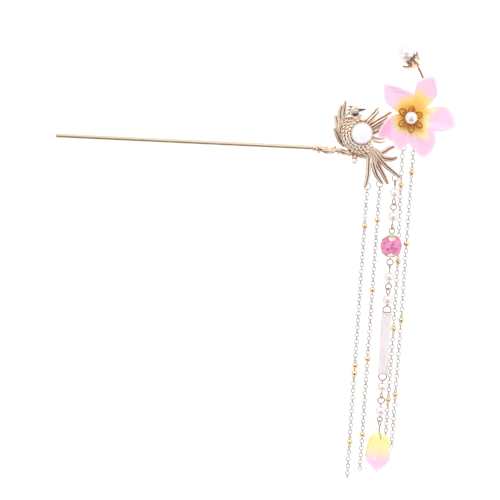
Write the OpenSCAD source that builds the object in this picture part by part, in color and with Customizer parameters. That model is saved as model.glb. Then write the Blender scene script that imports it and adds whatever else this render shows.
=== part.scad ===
// Hair ornament of the kind that sways: a straight stick, a cast phoenix on a branch, a resin flower,
// and chains and a pearl strand that hang below.
// The stick lies along X with its free tip towards -X, the front faces -Y, and what hangs runs along -Z.

/* [Hair stick] */
// Diameter of the stick
stick_d = 1.7; // [1.3:0.1:2.2]
// Free length of the stick
stick_len = 103; // [80:1:140]
// Length of the stick's end inside the branch's socket
stick_seat = 2.5; // [1.5:0.1:4]

/* [Phoenix casting] */
// Distance from the socket's mouth to the middle of the opal
bird_x = 19; // [17:0.5:24]
// Height of the middle of the opal above the stick's axis
bird_z = 6.9; // [6:0.1:8]
// Width and height of the body round the opal
body_w = 14.4; // [12:0.2:17]
// Depth of the body from front to back
body_t = 4.4; // [3.4:0.2:6]
// Reach of the left wing from the middle of the opal
left_wing = 15; // [12:0.5:18]
// Reach of the right wing from the middle of the opal
right_wing = 15; // [12:0.5:16]
// Length of the tail from its root
tail_len = 17; // [14:0.5:20]
// How far the tail's fourth feather curls forward
tail_curl = 1.9; // [1.4:0.1:3]
// Width of a feather at its root
feather_w = 1.9; // [1.4:0.1:2.4]
// Distance from the middle of the opal to the middle of the head
neck_len = 9.4; // [8:0.2:12]
// Diameter of the head
head_d = 3.9; // [3:0.1:5]
// Thickness of the branch
branch_d = 2.3; // [1.8:0.1:3]
// Diameter of the wires soldered to the casting
arm_d = 1.5; // [1.2:0.1:2]

/* [Stones] */
// Diameter of the opal
opal_d = 8.3; // [6:0.1:9]
// Height of the opal's dome
opal_h = 3; // [2:0.1:4]
// Diameter of the stone of the eye
eye_d = 2; // [1.4:0.1:2.4]
// Diameter of the pearl under the branch
branch_pearl_d = 2.8; // [2:0.1:4]
// Diameter of the pearl in the flower
core_pearl_d = 5; // [4:0.1:6]
// Diameter of the pearl in the bud
bud_pearl_d = 6.6; // [5:0.1:7]

/* [Flower] */
// Distance from the socket's mouth to the middle of the flower
flower_x = 38.1; // [36:0.5:42]
// Height of the middle of the flower above the stick's axis
flower_z = 13.9; // [13:0.5:17]
// Distance from the stick's axis forward to the back of the flower
flower_y = 4; // [3.4:0.2:7]
// Length of the longest petal
petal_len = 20; // [17:0.5:22]
// Thickness of the petals at their root
petal_t = 1.4; // [1:0.1:2]
// How far the petals rise towards the front
petal_rise = 1.6; // [0.8:0.1:3]
// Turn of the flower towards the stick, in degrees
flower_turn = 10; // [4:1:14]
// Tilt of the flower upwards, in degrees
flower_tilt = 8; // [2:1:12]
// Radius of the gilt rosette
core_r = 5.5; // [4.8:0.1:6.4]
// Thickness of the rosette's metal
core_t = 0.6; // [0.4:0.1:1]

/* [Bud] */
// Distance from the middle of the flower up to the calyx
bud_rise = 21.2; // [19:0.2:24]
// Distance from the middle of the flower to the right to the calyx
bud_side = 2.2; // [1:0.2:5]

/* [Chains] */
// Width of a chain link
link_w = 1.8; // [1.6:0.1:2.2]
// Length of a chain link
link_len = 2.2; // [2.1:0.1:2.8]
// Diameter of a link's wire
link_wire = 0.32; // [0.24:0.02:0.36]
// Diameter of the small balls on the chains
ball_d = 2.6; // [2:0.1:3]
// Outer diameter of a jump ring
ring_d = 3.05; // [2.8:0.1:3.6]
// Diameter of a jump ring's wire
ring_wire = 0.36; // [0.3:0.02:0.42]

/* [Pearl strand] */
// Diameter of the strand's pearls
pearl_d = 4.1; // [3.4:0.1:5]
// Diameter of the pink glass bead
bead_d = 8.8; // [7:0.1:9]
// Diameter of the glass tube
tube_d = 4.2; // [3.6:0.1:5]
// Thickness of the glass tube's wall
tube_wall = 0.5; // [0.4:0.05:0.6]
// Length of the glass tube
tube_len = 25.6; // [18:0.2:30]
// Diameter of the drop
drop_d = 10.4; // [8:0.2:12]
// Length of the drop
drop_len = 16.4; // [13:0.2:20]
// Diameter of the pins' wire
pin_wire = 0.5; // [0.4:0.05:0.6]
// Outer diameter of the eyes of the pins
eye_out = 2.8; // [2.4:0.1:3.2]
// Length of wire between a bead and the eye of its pin
neck = 0.4; // [0.2:0.05:1]

/* [Hidden] */

// Colours of the finishes
gilt = "#DDB68C";
chain_gilt = "#CDBBA0";
pearl_white = "#F3F0EE";
opal_white = "#EEF4FA";
petal_pink = "#F9D3EC";
bead_pink = "#E87DB4";
glass_white = "#F6ECEF";

// Gap between a piece and its seat, and between pieces that hang in each other
fit = 0.08;
hang_gap = 0.05;
link_gap = 0.12;
// Diameter of the posts that carry the pearls, and of the hole round a pin or post
post_d = 0.9;
pin_hole = pin_wire + 0.24;
post_hole = post_d + 0.2;

// Socket of the stick, and the stick's end turned down for the glue in it
spigot_d = stick_d - 0.6;
socket_d = spigot_d + 2 * fit;
collar_d = stick_d + 2 * fit + 0.6;
collar_len = stick_seat + 0.6;

// Places of the casting
opal_seat_y = -body_t / 2;
tail_root = [bird_x + 0.26 * body_w, bird_z - 0.39 * body_w];
head_at = [bird_x - 0.35 * neck_len, bird_z + 0.94 * neck_len];
head_y = -0.6;

// Feathers of the left wing: each a path of x and z, as shares of the wing's reach from the opal's middle
LEFT_FEATHERS = [
    [[-0.38, 0.14], [-0.46, 0.47], [-0.47, 0.87]],
    [[-0.43, 0.11], [-0.54, 0.44], [-0.58, 0.73]],
    [[-0.45, 0.07], [-0.61, 0.32], [-0.68, 0.57]],
    [[-0.46, 0.00], [-0.63, 0.22], [-0.73, 0.42]],
    [[-0.48, -0.16], [-0.64, -0.03], [-0.75, 0.11]]];
// Feathers of the right wing, as shares of its reach
RIGHT_FEATHERS = [
    [[0.08, 0.22], [0.23, 0.44], [0.42, 0.71]],
    [[0.14, 0.20], [0.32, 0.43], [0.47, 0.61]],
    [[0.20, 0.18], [0.50, 0.42], [0.79, 0.59]],
    [[0.22, 0.14], [0.49, 0.34], [0.68, 0.45]],
    [[0.22, 0.10], [0.41, 0.22], [0.54, 0.30]],
    [[0.22, 0.03], [0.44, 0.09], [0.57, 0.16]],
    [[0.22, -0.06], [0.43, -0.13], [0.60, -0.13]],
    [[0.22, -0.12], [0.43, -0.21], [0.54, -0.23], [0.71, -0.17]]];
// Feathers of the tail from its root, as shares of its length
TAIL_FEATHERS = [
    [[0.00, 0.00], [0.01, -0.19], [0.04, -0.62], [0.02, -0.84], [-0.02, -0.96]],
    [[0.00, 0.00], [0.10, -0.31], [0.21, -0.62], [0.33, -0.78], [0.38, -0.84]],
    [[0.01, 0.01], [0.25, -0.39], [0.38, -0.65], [0.52, -0.85]],
    [[0.02, 0.02], [0.37, -0.35], [0.60, -0.54], [0.79, -0.67]],
    [[0.03, 0.02], [0.38, -0.23], [0.57, -0.26], [0.72, -0.21]],
    [[0.02, 0.03], [0.28, -0.12], [0.47, -0.06], [0.62, 0.05]]];
// Crest, beak and wattle from the head's middle, as shares of the head's diameter
HEAD_TUFTS = [
    [[0.10, 0.05], [1.18, 0.23]],
    [[0.10, -0.15], [0.90, -0.56]],
    [[-0.20, 0.05], [-1.00, -0.10]],
    [[-0.20, -0.20], [-0.80, -0.58]]];
// Rows of scale feathers round the opal: radius as a share of the body's width, first and last angle, count
SCALE_ROWS = [[0.36, 112, 300, 11], [0.44, 118, 288, 12], [0.52, 128, 262, 11]];
// Branch from the socket's mouth to the tail's root: x as a share of the way, z and thickness as shares of
// the branch's thickness
BRANCH = [[0.11, -0.05, 0.95], [0.27, -0.26, 1.13], [0.38, -0.22, 1.05], [0.45, -0.17, 0.75],
    [0.53, -0.39, 0.83], [0.65, -0.56, 0.80], [0.81, -0.60, 0.85], [0.98, -0.26, 0.90]];
// Buds and beads on the branch, in the same columns
BRANCH_BEADS = [[0.11, -0.70, 0.46], [0.39, 0.38, 0.48], [0.46, -0.72, 0.52],
    [0.54, -0.83, 0.45], [0.60, -0.90, 0.48], [0.66, -1.00, 0.45]];

// Petals of the flower: angles in degrees and radii as shares of the longest petal.
// Columns: notch before it, its radius; first shoulder, radius; tip, radius; last shoulder, radius; swell
PETALS = [
    [37, 0.37, 44, 0.70, 65, 0.98, 84, 0.73, 0.015],
    [86, 0.50, 108, 0.61, 131, 0.89, 150, 0.63, -0.01],
    [159, 0.24, 187, 0.48, 213, 0.77, 224, 0.63, -0.01],
    [235, 0.60, 246, 0.64, 257, 0.70, 262, 0.58, 0],
    [268, 0.51, 281, 0.66, 291, 0.84, 322, 0.68, 0.025],
    [334, 0.54, 343, 0.75, 354, 0.92, 382, 0.74, 0.025]];

// Chains: where each hangs (index of its eye below), runs of links with a ball or pair of balls after each.
// A run of links, then 1 for a ball, 2 for a pair, 0 for the end
CHAIN_1 = [[9, 1], [37, 2], [17, 1], [9, 0]];
CHAIN_2 = [[8, 1], [17, 1], [17, 1], [19, 1], [9, 0]];
// Routes of the two chains behind the flower, x, y and z from their eyes by hand, and the heights
// of their balls
ROUTE_3 = [[0, 0, -2.1], [0.3, 0.1, -17.1], [1.4, 0.4, -48.1], [1.7, 0.8, -76.1], [1.7, 1.3, -106.1],
    [1.8, 1.6, -123.1]];
ROUTE_4 = [[0, 0, -2.5], [-0.1, 0, -42.5], [0, 0, -73.5], [-0.2, 0, -104.5], [-0.2, 0, -130.2]];
BALLS_3 = [-17, -48.3, -76.2, -105.9];
BALLS_4 = [-12.9, -42, -73.5, -104.6];

// Places of the eyes that the jump rings hang in, behind the tail's tips and behind the flower
eye_wire = 0.44;
eye_r = ring_wire / 2 + hang_gap + eye_wire / 2 + 0.15;
tail_eye_y = 1.1;
EYES = [
    [tail_root[0] + 0.047 * tail_len, tail_eye_y, tail_root[1] - 0.847 * tail_len],
    [tail_root[0] + 0.347 * tail_len, tail_eye_y, tail_root[1] - 0.776 * tail_len],
    [tail_root[0] + 0.69 * tail_len, tail_eye_y - tail_curl, tail_root[1] - 0.608 * tail_len],
    [flower_x - 0.5, 3.2, flower_z - 10.8],
    [flower_x + 3.7, 2.2, flower_z - 9.4]];
ring_r = (ring_d - ring_wire) / 2;
function ring_at(i) = EYES[i] - [0, 0, eye_r - eye_wire / 2 - ring_wire / 2 - hang_gap + ring_r];

// The hollow tube rests on the wide eye of the pearl below it, and a wide eye hangs into its upper end;
// its own pin runs through the bore, with small eyes in the two ends
wide_eye = 0.9 * tube_d;
small_eye = min(0.68 * eye_out, tube_d - 2 * tube_wall - 0.6);
rim_r = (tube_d - tube_wall) / 2;
wide_eye_in = (wide_eye + tube_wall) / 2 - sqrt(pow((wide_eye + tube_wall) / 2 + fit, 2) - pow(rim_r, 2));
tube_wire = 2 * pin_wire + hang_gap - small_eye - wide_eye_in;

// Pearl strand. Columns: half length of the bead; width of the eye above it, its turn from facing the
// front, bare wire below that eye; width of the eye below the bead, its turn, bare wire above that eye
cap_t = 0.25;
BEADS = [
    [pearl_d / 2, eye_out, 90, 1.6 * neck, 1.04 * eye_out, 74, 0.6 * neck],
    [pearl_d / 2, 1.07 * eye_out, 0, neck, 0.89 * eye_out, 83, 2.3 * neck],
    [bead_d / 2 + cap_t, eye_out, 0, 0.3 * neck, 1.09 * eye_out, 0, 1.3 * neck],
    [pearl_d / 2, 0.82 * eye_out, 90, 3.2 * neck, 1.07 * eye_out, 0, 0.7 * neck],
    [pearl_d / 2, 1.02 * eye_out, 65, 0.3 * neck, wide_eye, 0, 0.5 * neck],
    [tube_len / 2, small_eye, 90, tube_wire, small_eye, 90, tube_wire],
    [pearl_d / 2, wide_eye, 0, 1.4 * neck, 0.89 * eye_out, 71, 0.7 * neck],
    [pearl_d / 2, 1.15 * eye_out, 0, 2.4 * neck, 0.9 * eye_out, 0, 0.1 * neck],
    [0, eye_out, 81, 6.6 * neck, 0, 0, 0]];
strand_lean = 0.4;
function eye_above(b) = b[0] + b[3] + b[1] / 2;
function eye_below(b) = b[0] + b[6] + b[4] / 2;
function joint_len(a, b) = (a[4] + b[1]) / 2 - 2 * pin_wire - hang_gap;
strand_top = ring_at(2) + [0, 0, -ring_r + ring_wire / 2 + pin_wire + hang_gap - BEADS[0][1] / 2];
function bead_z(i) = i == 0 ? -eye_above(BEADS[0])
    : bead_z(i - 1) - eye_below(BEADS[i - 1]) - joint_len(BEADS[i - 1], BEADS[i]) - eye_above(BEADS[i]);

// Chain links
link_r = (link_w - link_wire) / 2;
link_end = (link_len - link_wire) / 2;
link_pitch = 2 * link_end - link_wire - link_gap;
ball_eye_r = 0.36 + link_wire / 2;
ball_end = ball_d / 2 + 2 * ball_eye_r - 0.06;
pair_step = 1.27 * ball_d;
function half_of(kind) = kind == 0 ? link_end : kind == 1 ? ball_end : ball_end + pair_step / 2;
function step_between(a, b) = half_of(a) + half_of(b) - link_wire - link_gap;
function kinds_of(runs) = [for (run = runs) each
    concat([for (i = [1:run[0]]) 0], run[1] > 0 ? [run[1]] : [])];
function heights(kinds) = [for (i = 0, z = -link_end; i < len(kinds);
    z = i + 1 < len(kinds) ? z - step_between(kinds[i], kinds[i + 1]) : z, i = i + 1) z];

// A closed body through a list of rings of equally many points, the first and last closed by flat ends
module skin(rings) {
    n = len(rings[0]);
    last = len(rings) - 1;
    points = [for (r = rings) each r];
    sides = [for (i = [0:last - 1], j = [0:n - 1])
        [i * n + j, i * n + (j + 1) % n, (i + 1) * n + (j + 1) % n, (i + 1) * n + j]];
    polyhedron(points = points, faces = concat(sides,
        [[for (j = [n - 1:-1:0]) j]], [[for (j = [0:n - 1]) last * n + j]]), convexity = 6);
}

// Rounded bar through points, tapering from the first diameter to the last
module bar(path, d0, d1, sides = 8) {
    last = len(path) - 1;
    for (i = [0:last - 1]) {
        hull() {
            translate(path[i]) sphere(d = d0 + (d1 - d0) * i / last, $fn = sides);
            translate(path[i + 1]) sphere(d = d0 + (d1 - d0) * (i + 1) / last, $fn = sides);
        }
    }
}

// A feather of the casting, from shares of a reach, going from one depth to another
module feather(shares, at, reach, w0, w1, y0 = 0, y1 = 0, sides = 8) {
    n = len(shares) - 1;
    path = [for (i = [0:n])
        [at[0] + shares[i][0] * reach, y0 + (y1 - y0) * i / n, at[1] + shares[i][1] * reach]];
    bar(path, w0, w1, sides);
}

// A ring of round wire round the X axis
module ring(r, wire, n = 48, n_wire = 40) {
    rotate([0, 90, 0]) rotate_extrude($fn = n) translate([r, 0]) circle(d = wire, $fn = n_wire);
}

// Children drawn along +Z come to face the front at a place
module face_front(at) {
    translate(at) rotate([90, 0, 0]) children();
}

// Everything that shares the flower's middle and tilt; inside, the front is +Z and up is +Y
module on_flower() {
    translate([flower_x, -flower_y, flower_z]) rotate([-flower_tilt, 0, -flower_turn]) rotate([90, 0, 0])
        children();
}
flower_front = [-cos(flower_tilt) * sin(flower_turn), -cos(flower_tilt) * cos(flower_turn),
    sin(flower_tilt)];
hub_t = 0.9;
hub_back = [flower_x, -flower_y, flower_z] - flower_front * (fit + hub_t / 2);
core_z = petal_t + fit;
core_pearl_z = core_z + core_t + fit + core_pearl_d / 2;

// The bud: its calyx, and the axis from it to the pearl
bud_angle = 139;
calyx_at = [flower_x + bud_side, -0.4, flower_z + bud_rise];
calyx_gap = 3.1;
module on_calyx() {
    translate(calyx_at) rotate([0, 90 - bud_angle, 0]) children();
}

// The cap under the branch that carries the small pearl
cap_x = 0.76 * tail_root[0];
cap_z = -1.13 * branch_d;
cap_h = 0.5;
small_post_d = 0.5;

module bird_body() {
    translate([bird_x, 0, bird_z]) scale([1, body_t / body_w, 1]) hull() {
        translate([-0.10 * body_w, 0, -0.10 * body_w]) sphere(d = 0.85 * body_w, $fn = 24);
        translate([-0.25 * body_w, 0, 0.12 * body_w]) sphere(d = 0.62 * body_w, $fn = 20);
        translate([0.02 * body_w, 0, -0.04 * body_w]) sphere(d = 0.70 * body_w, $fn = 20);
    }
}

module scale_feathers() {
    size = 0.155 * body_w;
    for (row = SCALE_ROWS) {
        for (k = [0:row[3] - 1]) {
            angle = row[1] + (row[2] - row[1]) * k / (row[3] - 1);
            r = row[0] * body_w;
            height = 0.42 * body_t * (1 - pow(row[0] / 0.72, 2)) + 0.06 * body_t;
            translate([bird_x + r * cos(angle), -height, bird_z + r * sin(angle)]) rotate([0, -angle, 0])
                scale([1.1, 0.62, 0.8]) sphere(d = size, $fn = 8);
        }
    }
}

module head_and_neck() {
    middle = [head_at[0], head_y, head_at[1]];
    chest = [bird_x - 0.24 * body_w, 0, bird_z + 0.2 * body_w];
    bar([middle, (middle + chest) / 2, chest], 0.86 * head_d, 0.32 * body_w, 12);
    translate(middle) sphere(d = head_d, $fn = 16);
    for (tuft = HEAD_TUFTS) {
        feather(tuft, head_at, head_d, 0.34 * head_d, 0.14 * head_d, head_y, head_y);
    }
}

module wings() {
    for (f = LEFT_FEATHERS) {
        feather(f, [bird_x, bird_z], left_wing, 1.1 * feather_w, 0.35 * feather_w, 0, 0.2);
    }
    for (f = RIGHT_FEATHERS) {
        feather(f, [bird_x, bird_z], right_wing, 0.9 * feather_w, 0.4 * feather_w, 0, 0.2);
    }
}

module tail() {
    for (i = [0:len(TAIL_FEATHERS) - 1]) {
        feather(TAIL_FEATHERS[i], tail_root, tail_len, 1.05 * feather_w, 0.5 * feather_w,
            0, i == 3 ? -tail_curl : 0);
    }
    hull() {
        for (p = [[0.02, 0], [0.07, -0.20], [0.25, -0.25], [0.22, -0.10]]) {
            translate([tail_root[0] + p[0] * tail_len, 0, tail_root[1] + p[1] * tail_len])
                sphere(d = 0.75 * feather_w, $fn = 8);
        }
    }
    for (i = [0:2]) {
        translate(EYES[i]) ring(eye_r, eye_wire, 14, 6);
    }
}

module branch() {
    way = tail_root[0];
    points = [for (row = BRANCH) [row[0] * way, 0, row[1] * branch_d]];
    for (i = [0:len(BRANCH) - 2]) {
        hull() {
            translate(points[i]) sphere(d = BRANCH[i][2] * branch_d, $fn = 10);
            translate(points[i + 1]) sphere(d = BRANCH[i + 1][2] * branch_d, $fn = 10);
        }
    }
    for (row = BRANCH_BEADS) {
        translate([row[0] * way, -0.1 * branch_d, row[1] * branch_d])
            sphere(d = row[2] * branch_d, $fn = 8);
    }
    rotate([0, 90, 0]) cylinder(d = collar_d, h = collar_len, $fn = 32);
    bar([[0.86 * way, 0.2, -0.9 * branch_d], [way, 0.5, -1.45 * branch_d]], 0.6 * branch_d, 0.3 * branch_d);
    translate([cap_x, 0, cap_z]) {
        cylinder(d = 0.55 * branch_pearl_d, h = -cap_z / 2, $fn = 16);
        translate([0, 0, -cap_h]) cylinder(d = 0.78 * branch_pearl_d, h = cap_h, $fn = 20);
        translate([0, 0, -cap_h - 0.5 * branch_pearl_d])
            cylinder(d = small_post_d, h = branch_pearl_d / 2, $fn = 12);
    }
}

// The wires soldered behind the flower: arm, hub with its post, bud's stem, and eyes of two jump rings
module soldered_wires() {
    bar([[bird_x + 0.2 * body_w, 0.9, bird_z + 0.06 * body_w],
        [bird_x + 0.55 * body_w, 1.2, bird_z + 0.12 * body_w],
        [flower_x - 0.25 * petal_len, 0.1 * flower_y, flower_z - 0.13 * petal_len], hub_back],
        arm_d, arm_d);
    on_flower() {
        translate([0, 0, -fit - hub_t]) cylinder(r = 0.55 * core_r, h = hub_t, $fn = 24);
        translate([0, 0, -fit - hub_t / 2])
            cylinder(d = post_d, h = core_pearl_z + fit + hub_t / 2, $fn = 16);
    }
    bar([hub_back, [flower_x + 0.13 * petal_len, -0.45 * flower_y, flower_z + 0.4 * petal_len],
        [flower_x + 0.26 * petal_len, -0.175 * flower_y, flower_z + 0.7 * petal_len],
        [flower_x + 0.24 * petal_len, -0.125 * flower_y, flower_z + 0.82 * petal_len], calyx_at],
        0.55 * arm_d, 0.55 * arm_d);
    fork = [flower_x + 0.03 * petal_len, 0.3 * flower_y, flower_z - 0.35 * petal_len];
    bar([hub_back, fork], 0.8 * arm_d, 0.7 * arm_d);
    for (i = [3:4]) {
        bar([fork, EYES[i] + [0, 0, eye_r]], 0.6 * arm_d, 0.4 * arm_d);
        translate(EYES[i]) ring(eye_r, eye_wire, 14, 6);
    }
    on_calyx() {
        sphere(d = 2.2, $fn = 12);
        cylinder(d1 = 2, d2 = 1.3, h = calyx_gap - fit, $fn = 12);
        cylinder(d = post_d, h = calyx_gap + 0.5 * bud_pearl_d, $fn = 16);
        for (k = [0:3]) {
            rotate([0, 0, 90 * k])
                bar([[0.4, 0, 0], [2.6, 0, 1.1], [0.5 * bud_pearl_d + 0.8, 0, calyx_gap + 0.9]], 1.3, 0.6);
        }
    }
}

module phoenix_casting() {
    color(gilt) difference() {
        union() {
            bird_body();
            scale_feathers();
            head_and_neck();
            wings();
            tail();
            branch();
            soldered_wires();
            face_front([bird_x, 0, bird_z]) cylinder(d = opal_d + 0.8, h = body_t / 2 + 0.5, $fn = 40);
            face_front([head_at[0], head_y, head_at[1]])
                cylinder(d = eye_d + 0.6, h = head_d / 2 + 0.1, $fn = 20);
        }
        rotate([0, 90, 0]) translate([0, 0, -1]) cylinder(d = socket_d, h = stick_seat + fit + 1, $fn = 32);
        face_front([bird_x, opal_seat_y, bird_z]) cylinder(d = opal_d + 2 * fit, h = opal_h, $fn = 40);
        face_front([head_at[0], head_y - head_d / 2 + 0.2, head_at[1]])
            cylinder(d = eye_d + 2 * fit, h = eye_d, $fn = 20);
    }
}

module stick() {
    chamfer = 0.12 * stick_d;
    color(gilt) rotate([0, 90, 0]) {
        translate([0, 0, -stick_len]) {
            cylinder(d1 = stick_d - 2 * chamfer, d2 = stick_d, h = chamfer, $fn = 64);
            translate([0, 0, chamfer]) cylinder(d = stick_d, h = stick_len - chamfer - fit, $fn = 64);
        }
        translate([0, 0, -1]) cylinder(d = spigot_d, h = 1 + stick_seat, $fn = 64);
    }
}

// A domed stone on a short girdle, flat behind
module cabochon(d, h, girdle) {
    r = (pow(d / 2, 2) + pow(h - girdle, 2)) / (2 * (h - girdle));
    intersection() {
        cylinder(d = d, h = h, $fn = 96);
        translate([0, 0, h - r]) sphere(r = r, $fn = 128);
    }
}

module opal() {
    color(opal_white) face_front([bird_x, opal_seat_y - fit, bird_z]) cabochon(opal_d, opal_h, 0.5);
}

module eye_stone() {
    color(pearl_white) face_front([head_at[0], head_y - head_d / 2 + 0.2 - fit, head_at[1]])
        cabochon(eye_d, 0.55 * eye_d, 0.15);
}

// A pearl with a hole from below to just past its middle
module post_pearl(d, hole) {
    difference() {
        sphere(d = d, $fn = 96);
        translate([0, 0, -d]) cylinder(d = hole, h = d + 0.1 * d, $fn = 32);
    }
}

module branch_pearl() {
    color(pearl_white) translate([cap_x, 0, cap_z - cap_h - fit - branch_pearl_d / 2])
        rotate([180, 0, 0]) post_pearl(branch_pearl_d, small_post_d + 0.2);
}

module core_pearl() {
    color(pearl_white) on_flower() translate([0, 0, core_pearl_z]) post_pearl(core_pearl_d, post_hole);
}

module bud_pearl() {
    color(pearl_white) on_calyx() translate([0, 0, calyx_gap + bud_pearl_d / 2])
        post_pearl(bud_pearl_d, post_hole);
}

// Radius of the flower's edge along the way from one notch to the next, t from 0 to 6 at the tip to 12
function edge_of(p, next_r, t) = petal_len * (
    t <= 1 ? p[1] + (p[3] - p[1]) * t
    : t <= 6 ? p[3] + (p[5] - p[3]) * (t - 1) / 5 + p[8] * sin(36 * (t - 1))
    : t <= 11 ? p[5] + (p[7] - p[5]) * (t - 6) / 5 + p[8] * sin(36 * (t - 6))
    : p[7] + (next_r - p[7]) * (t - 11));
function angle_of(p, next_a, t) =
    t <= 1 ? p[0] + (p[2] - p[0]) * t
    : t <= 6 ? p[2] + (p[4] - p[2]) * (t - 1) / 5
    : t <= 11 ? p[4] + (p[6] - p[4]) * (t - 6) / 5
    : p[6] + (next_a - p[6]) * (t - 11);

module flower() {
    flat_r = 0.6 * core_r;
    steps = 6;
    hole_r = post_hole / 2;
    sections = [for (i = [0:len(PETALS) - 1], t = [0:11])
        let (
            p = PETALS[i],
            next = PETALS[(i + 1) % len(PETALS)],
            next_a = next[0] + (i + 1 == len(PETALS) ? 360 : 0),
            edge = edge_of(p, next[1], t),
            a = angle_of(p, next_a, t),
            side = pow((t - 6) / 6, 2))
        [for (k = [0:2 * steps + 1])
            let (
                front = k <= steps,
                share = (front ? k : 2 * steps + 1 - k) / steps,
                r = hole_r + (edge - hole_r) * share,
                out = max(0, r - flat_r) / (petal_len - flat_r),
                middle = petal_t / 2 + petal_rise * (0.7 * pow(out, 1.3) + 0.8 * side * out),
                half = petal_t / 2 * (1 - 0.4 * share))
            [r * cos(a), r * sin(a), middle + (front ? half : -half)]]];
    n = len(sections);
    m = 2 * steps + 2;
    faces = [for (i = [0:n - 1], k = [0:m - 1])
        [i * m + k, i * m + (k + 1) % m, ((i + 1) % n) * m + (k + 1) % m, ((i + 1) % n) * m + k]];
    color(petal_pink) on_flower()
        polyhedron(points = [for (s = sections) each s], faces = faces, convexity = 6);
}

// Open leaf of the rosette, from its root at the middle to its tip at +X
module leaf(length, half_w, rim) {
    r = (pow(length / 2, 2) + pow(half_w, 2)) / (2 * half_w);
    linear_extrude(core_t) difference() {
        intersection() {
            translate([length / 2, r - half_w]) circle(r = r, $fn = 96);
            translate([length / 2, half_w - r]) circle(r = r, $fn = 96);
        }
        intersection() {
            translate([length / 2, r - half_w]) circle(r = r - rim, $fn = 96);
            translate([length / 2, half_w - r]) circle(r = r - rim, $fn = 96);
        }
    }
}

module flower_core() {
    color(gilt) on_flower() translate([0, 0, core_z]) difference() {
        union() {
            cylinder(r = 0.42 * core_r, h = core_t, $fn = 64);
            for (k = [0:5]) {
                rotate([0, 0, 30 + 60 * k]) translate([0.3 * core_r, 0, 0]) rotate([0, -16, 0])
                    leaf(0.72 * core_r, 0.24 * core_r, 0.08 * core_r);
            }
        }
        translate([0, 0, -1]) cylinder(d = post_hole, h = core_t + 2, $fn = 32);
    }
}

module jump_ring(i) {
    color(gilt) translate(ring_at(i)) rotate([0, 0, 90]) ring(ring_r, ring_wire);
}

module wire_half(r) {
    rotate([90, 0, 0]) rotate_extrude(angle = 180, $fn = 48)
        translate([r, 0]) circle(d = link_wire, $fn = 40);
}

// One oval link in the plane of the casting
module link() {
    straight = link_end - link_r;
    for (side = [0, 180]) {
        rotate([0, side, 0]) {
            translate([0, 0, straight]) wire_half(link_r);
            translate([link_r, 0, -straight]) cylinder(d = link_wire, h = 2 * straight, $fn = 40);
        }
    }
}

// A ball with an eye above and below, or a pair of balls on one stem
module ball_link(kind) {
    shift = half_of(kind) - ball_end;
    for (side = [0, 180]) {
        rotate([0, side, 0]) translate([0, 0, shift]) {
            sphere(d = ball_d, $fn = 64);
            translate([0, 0, ball_end - ball_eye_r]) rotate([0, 0, 90]) ring(ball_eye_r, link_wire);
        }
    }
    if (kind == 2) {
        cylinder(d = 0.4 * ball_d, h = pair_step, center = true, $fn = 48);
    }
}

module chain(i, runs) {
    kinds = kinds_of(runs);
    z = heights(kinds);
    color(chain_gilt) translate(ring_at(i) + [0, 0, (ring_wire + link_wire) / 2 + hang_gap - ring_r]) {
        for (k = [0:len(kinds) - 1]) {
            translate([0, 0, z[k]]) rotate([0, 0, k % 2 == 0 ? 90 : 0]) {
                if (kinds[k] == 0) {
                    link();
                } else {
                    ball_link(kinds[k]);
                }
            }
        }
    }
}

// A chain's outer form along its route below its eye, with a bulge at each ball
module chain_form(i, route, balls) {
    top = ring_at(i)[2] - EYES[i][2] - ring_r - ring_wire / 2 - fit;
    end = route[len(route) - 1][2];
    xs = [for (p = route) [p[2], p[0]]];
    ys = [for (p = route) [p[2], p[1]]];
    stops = concat([top + ball_d / 2], balls, [end - ball_d / 2]);
    function run(a, b) = let (n = max(1, ceil((a - b) / 5)))
        [for (k = [0:n]) [a + (b - a) * k / n, link_w / 2]];
    function bulge(z) = [for (a = [40, 0, -40]) [z + ball_d / 2 * sin(a), ball_d / 2 * cos(a)]];
    rows = [for (k = [0:len(stops) - 2]) each concat(
        run(stops[k] - ball_d / 2, stops[k + 1] + ball_d / 2),
        k < len(stops) - 2 ? bulge(stops[k + 1]) : [])];
    color(chain_gilt) translate(EYES[i]) skin([for (row = rows) [for (j = [0:7])
        [lookup(row[0], xs) + row[1] * cos(45 * j), lookup(row[0], ys) + row[1] * sin(45 * j), row[0]]]]);
}

module on_strand(i) {
    translate(strand_top) rotate([0, -strand_lean, 0]) translate([0, 0, bead_z(i)]) children();
}

module pearl(i) {
    color(pearl_white) on_strand(i) difference() {
        sphere(d = pearl_d, $fn = 96);
        cylinder(d = pin_hole, h = 2 * pearl_d, center = true, $fn = 32);
    }
}

module pin_eye(width, turn) {
    rotate([0, 0, 90 - turn]) ring((width - pin_wire) / 2, pin_wire);
}

module pin(i) {
    b = BEADS[i];
    last = i == len(BEADS) - 1;
    top = b[0] + b[3] + pin_wire / 4;
    bottom = last ? 0.28 * drop_len : b[0] + b[6] + pin_wire / 4;
    color(gilt) on_strand(i) {
        translate([0, 0, -bottom]) cylinder(d = pin_wire, h = top + bottom, $fn = 40);
        translate([0, 0, eye_above(b)]) pin_eye(b[1], b[2]);
        if (!last) {
            translate([0, 0, -eye_below(b)]) pin_eye(b[4], b[5]);
        }
    }
}

module pink_bead() {
    color(bead_pink) on_strand(2) difference() {
        sphere(d = bead_d, $fn = 96);
        cylinder(d = pin_hole, h = 2 * bead_d, center = true, $fn = 32);
    }
}

// A thin domed cap of four petals on the bead's upper end
module bead_cap() {
    difference() {
        intersection() {
            sphere(r = bead_d / 2 + cap_t, $fn = 96);
            union() {
                cylinder(r = 0.2 * bead_d, h = bead_d, $fn = 64);
                for (k = [0:3]) {
                    rotate([0, 0, 90 * k]) translate([0.28 * bead_d, 0, 0])
                        cylinder(r = 0.18 * bead_d, h = bead_d, $fn = 64);
                }
            }
        }
        sphere(r = bead_d / 2 + fit / 2, $fn = 96);
        cylinder(d = pin_hole, h = bead_d, $fn = 32);
    }
}

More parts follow.
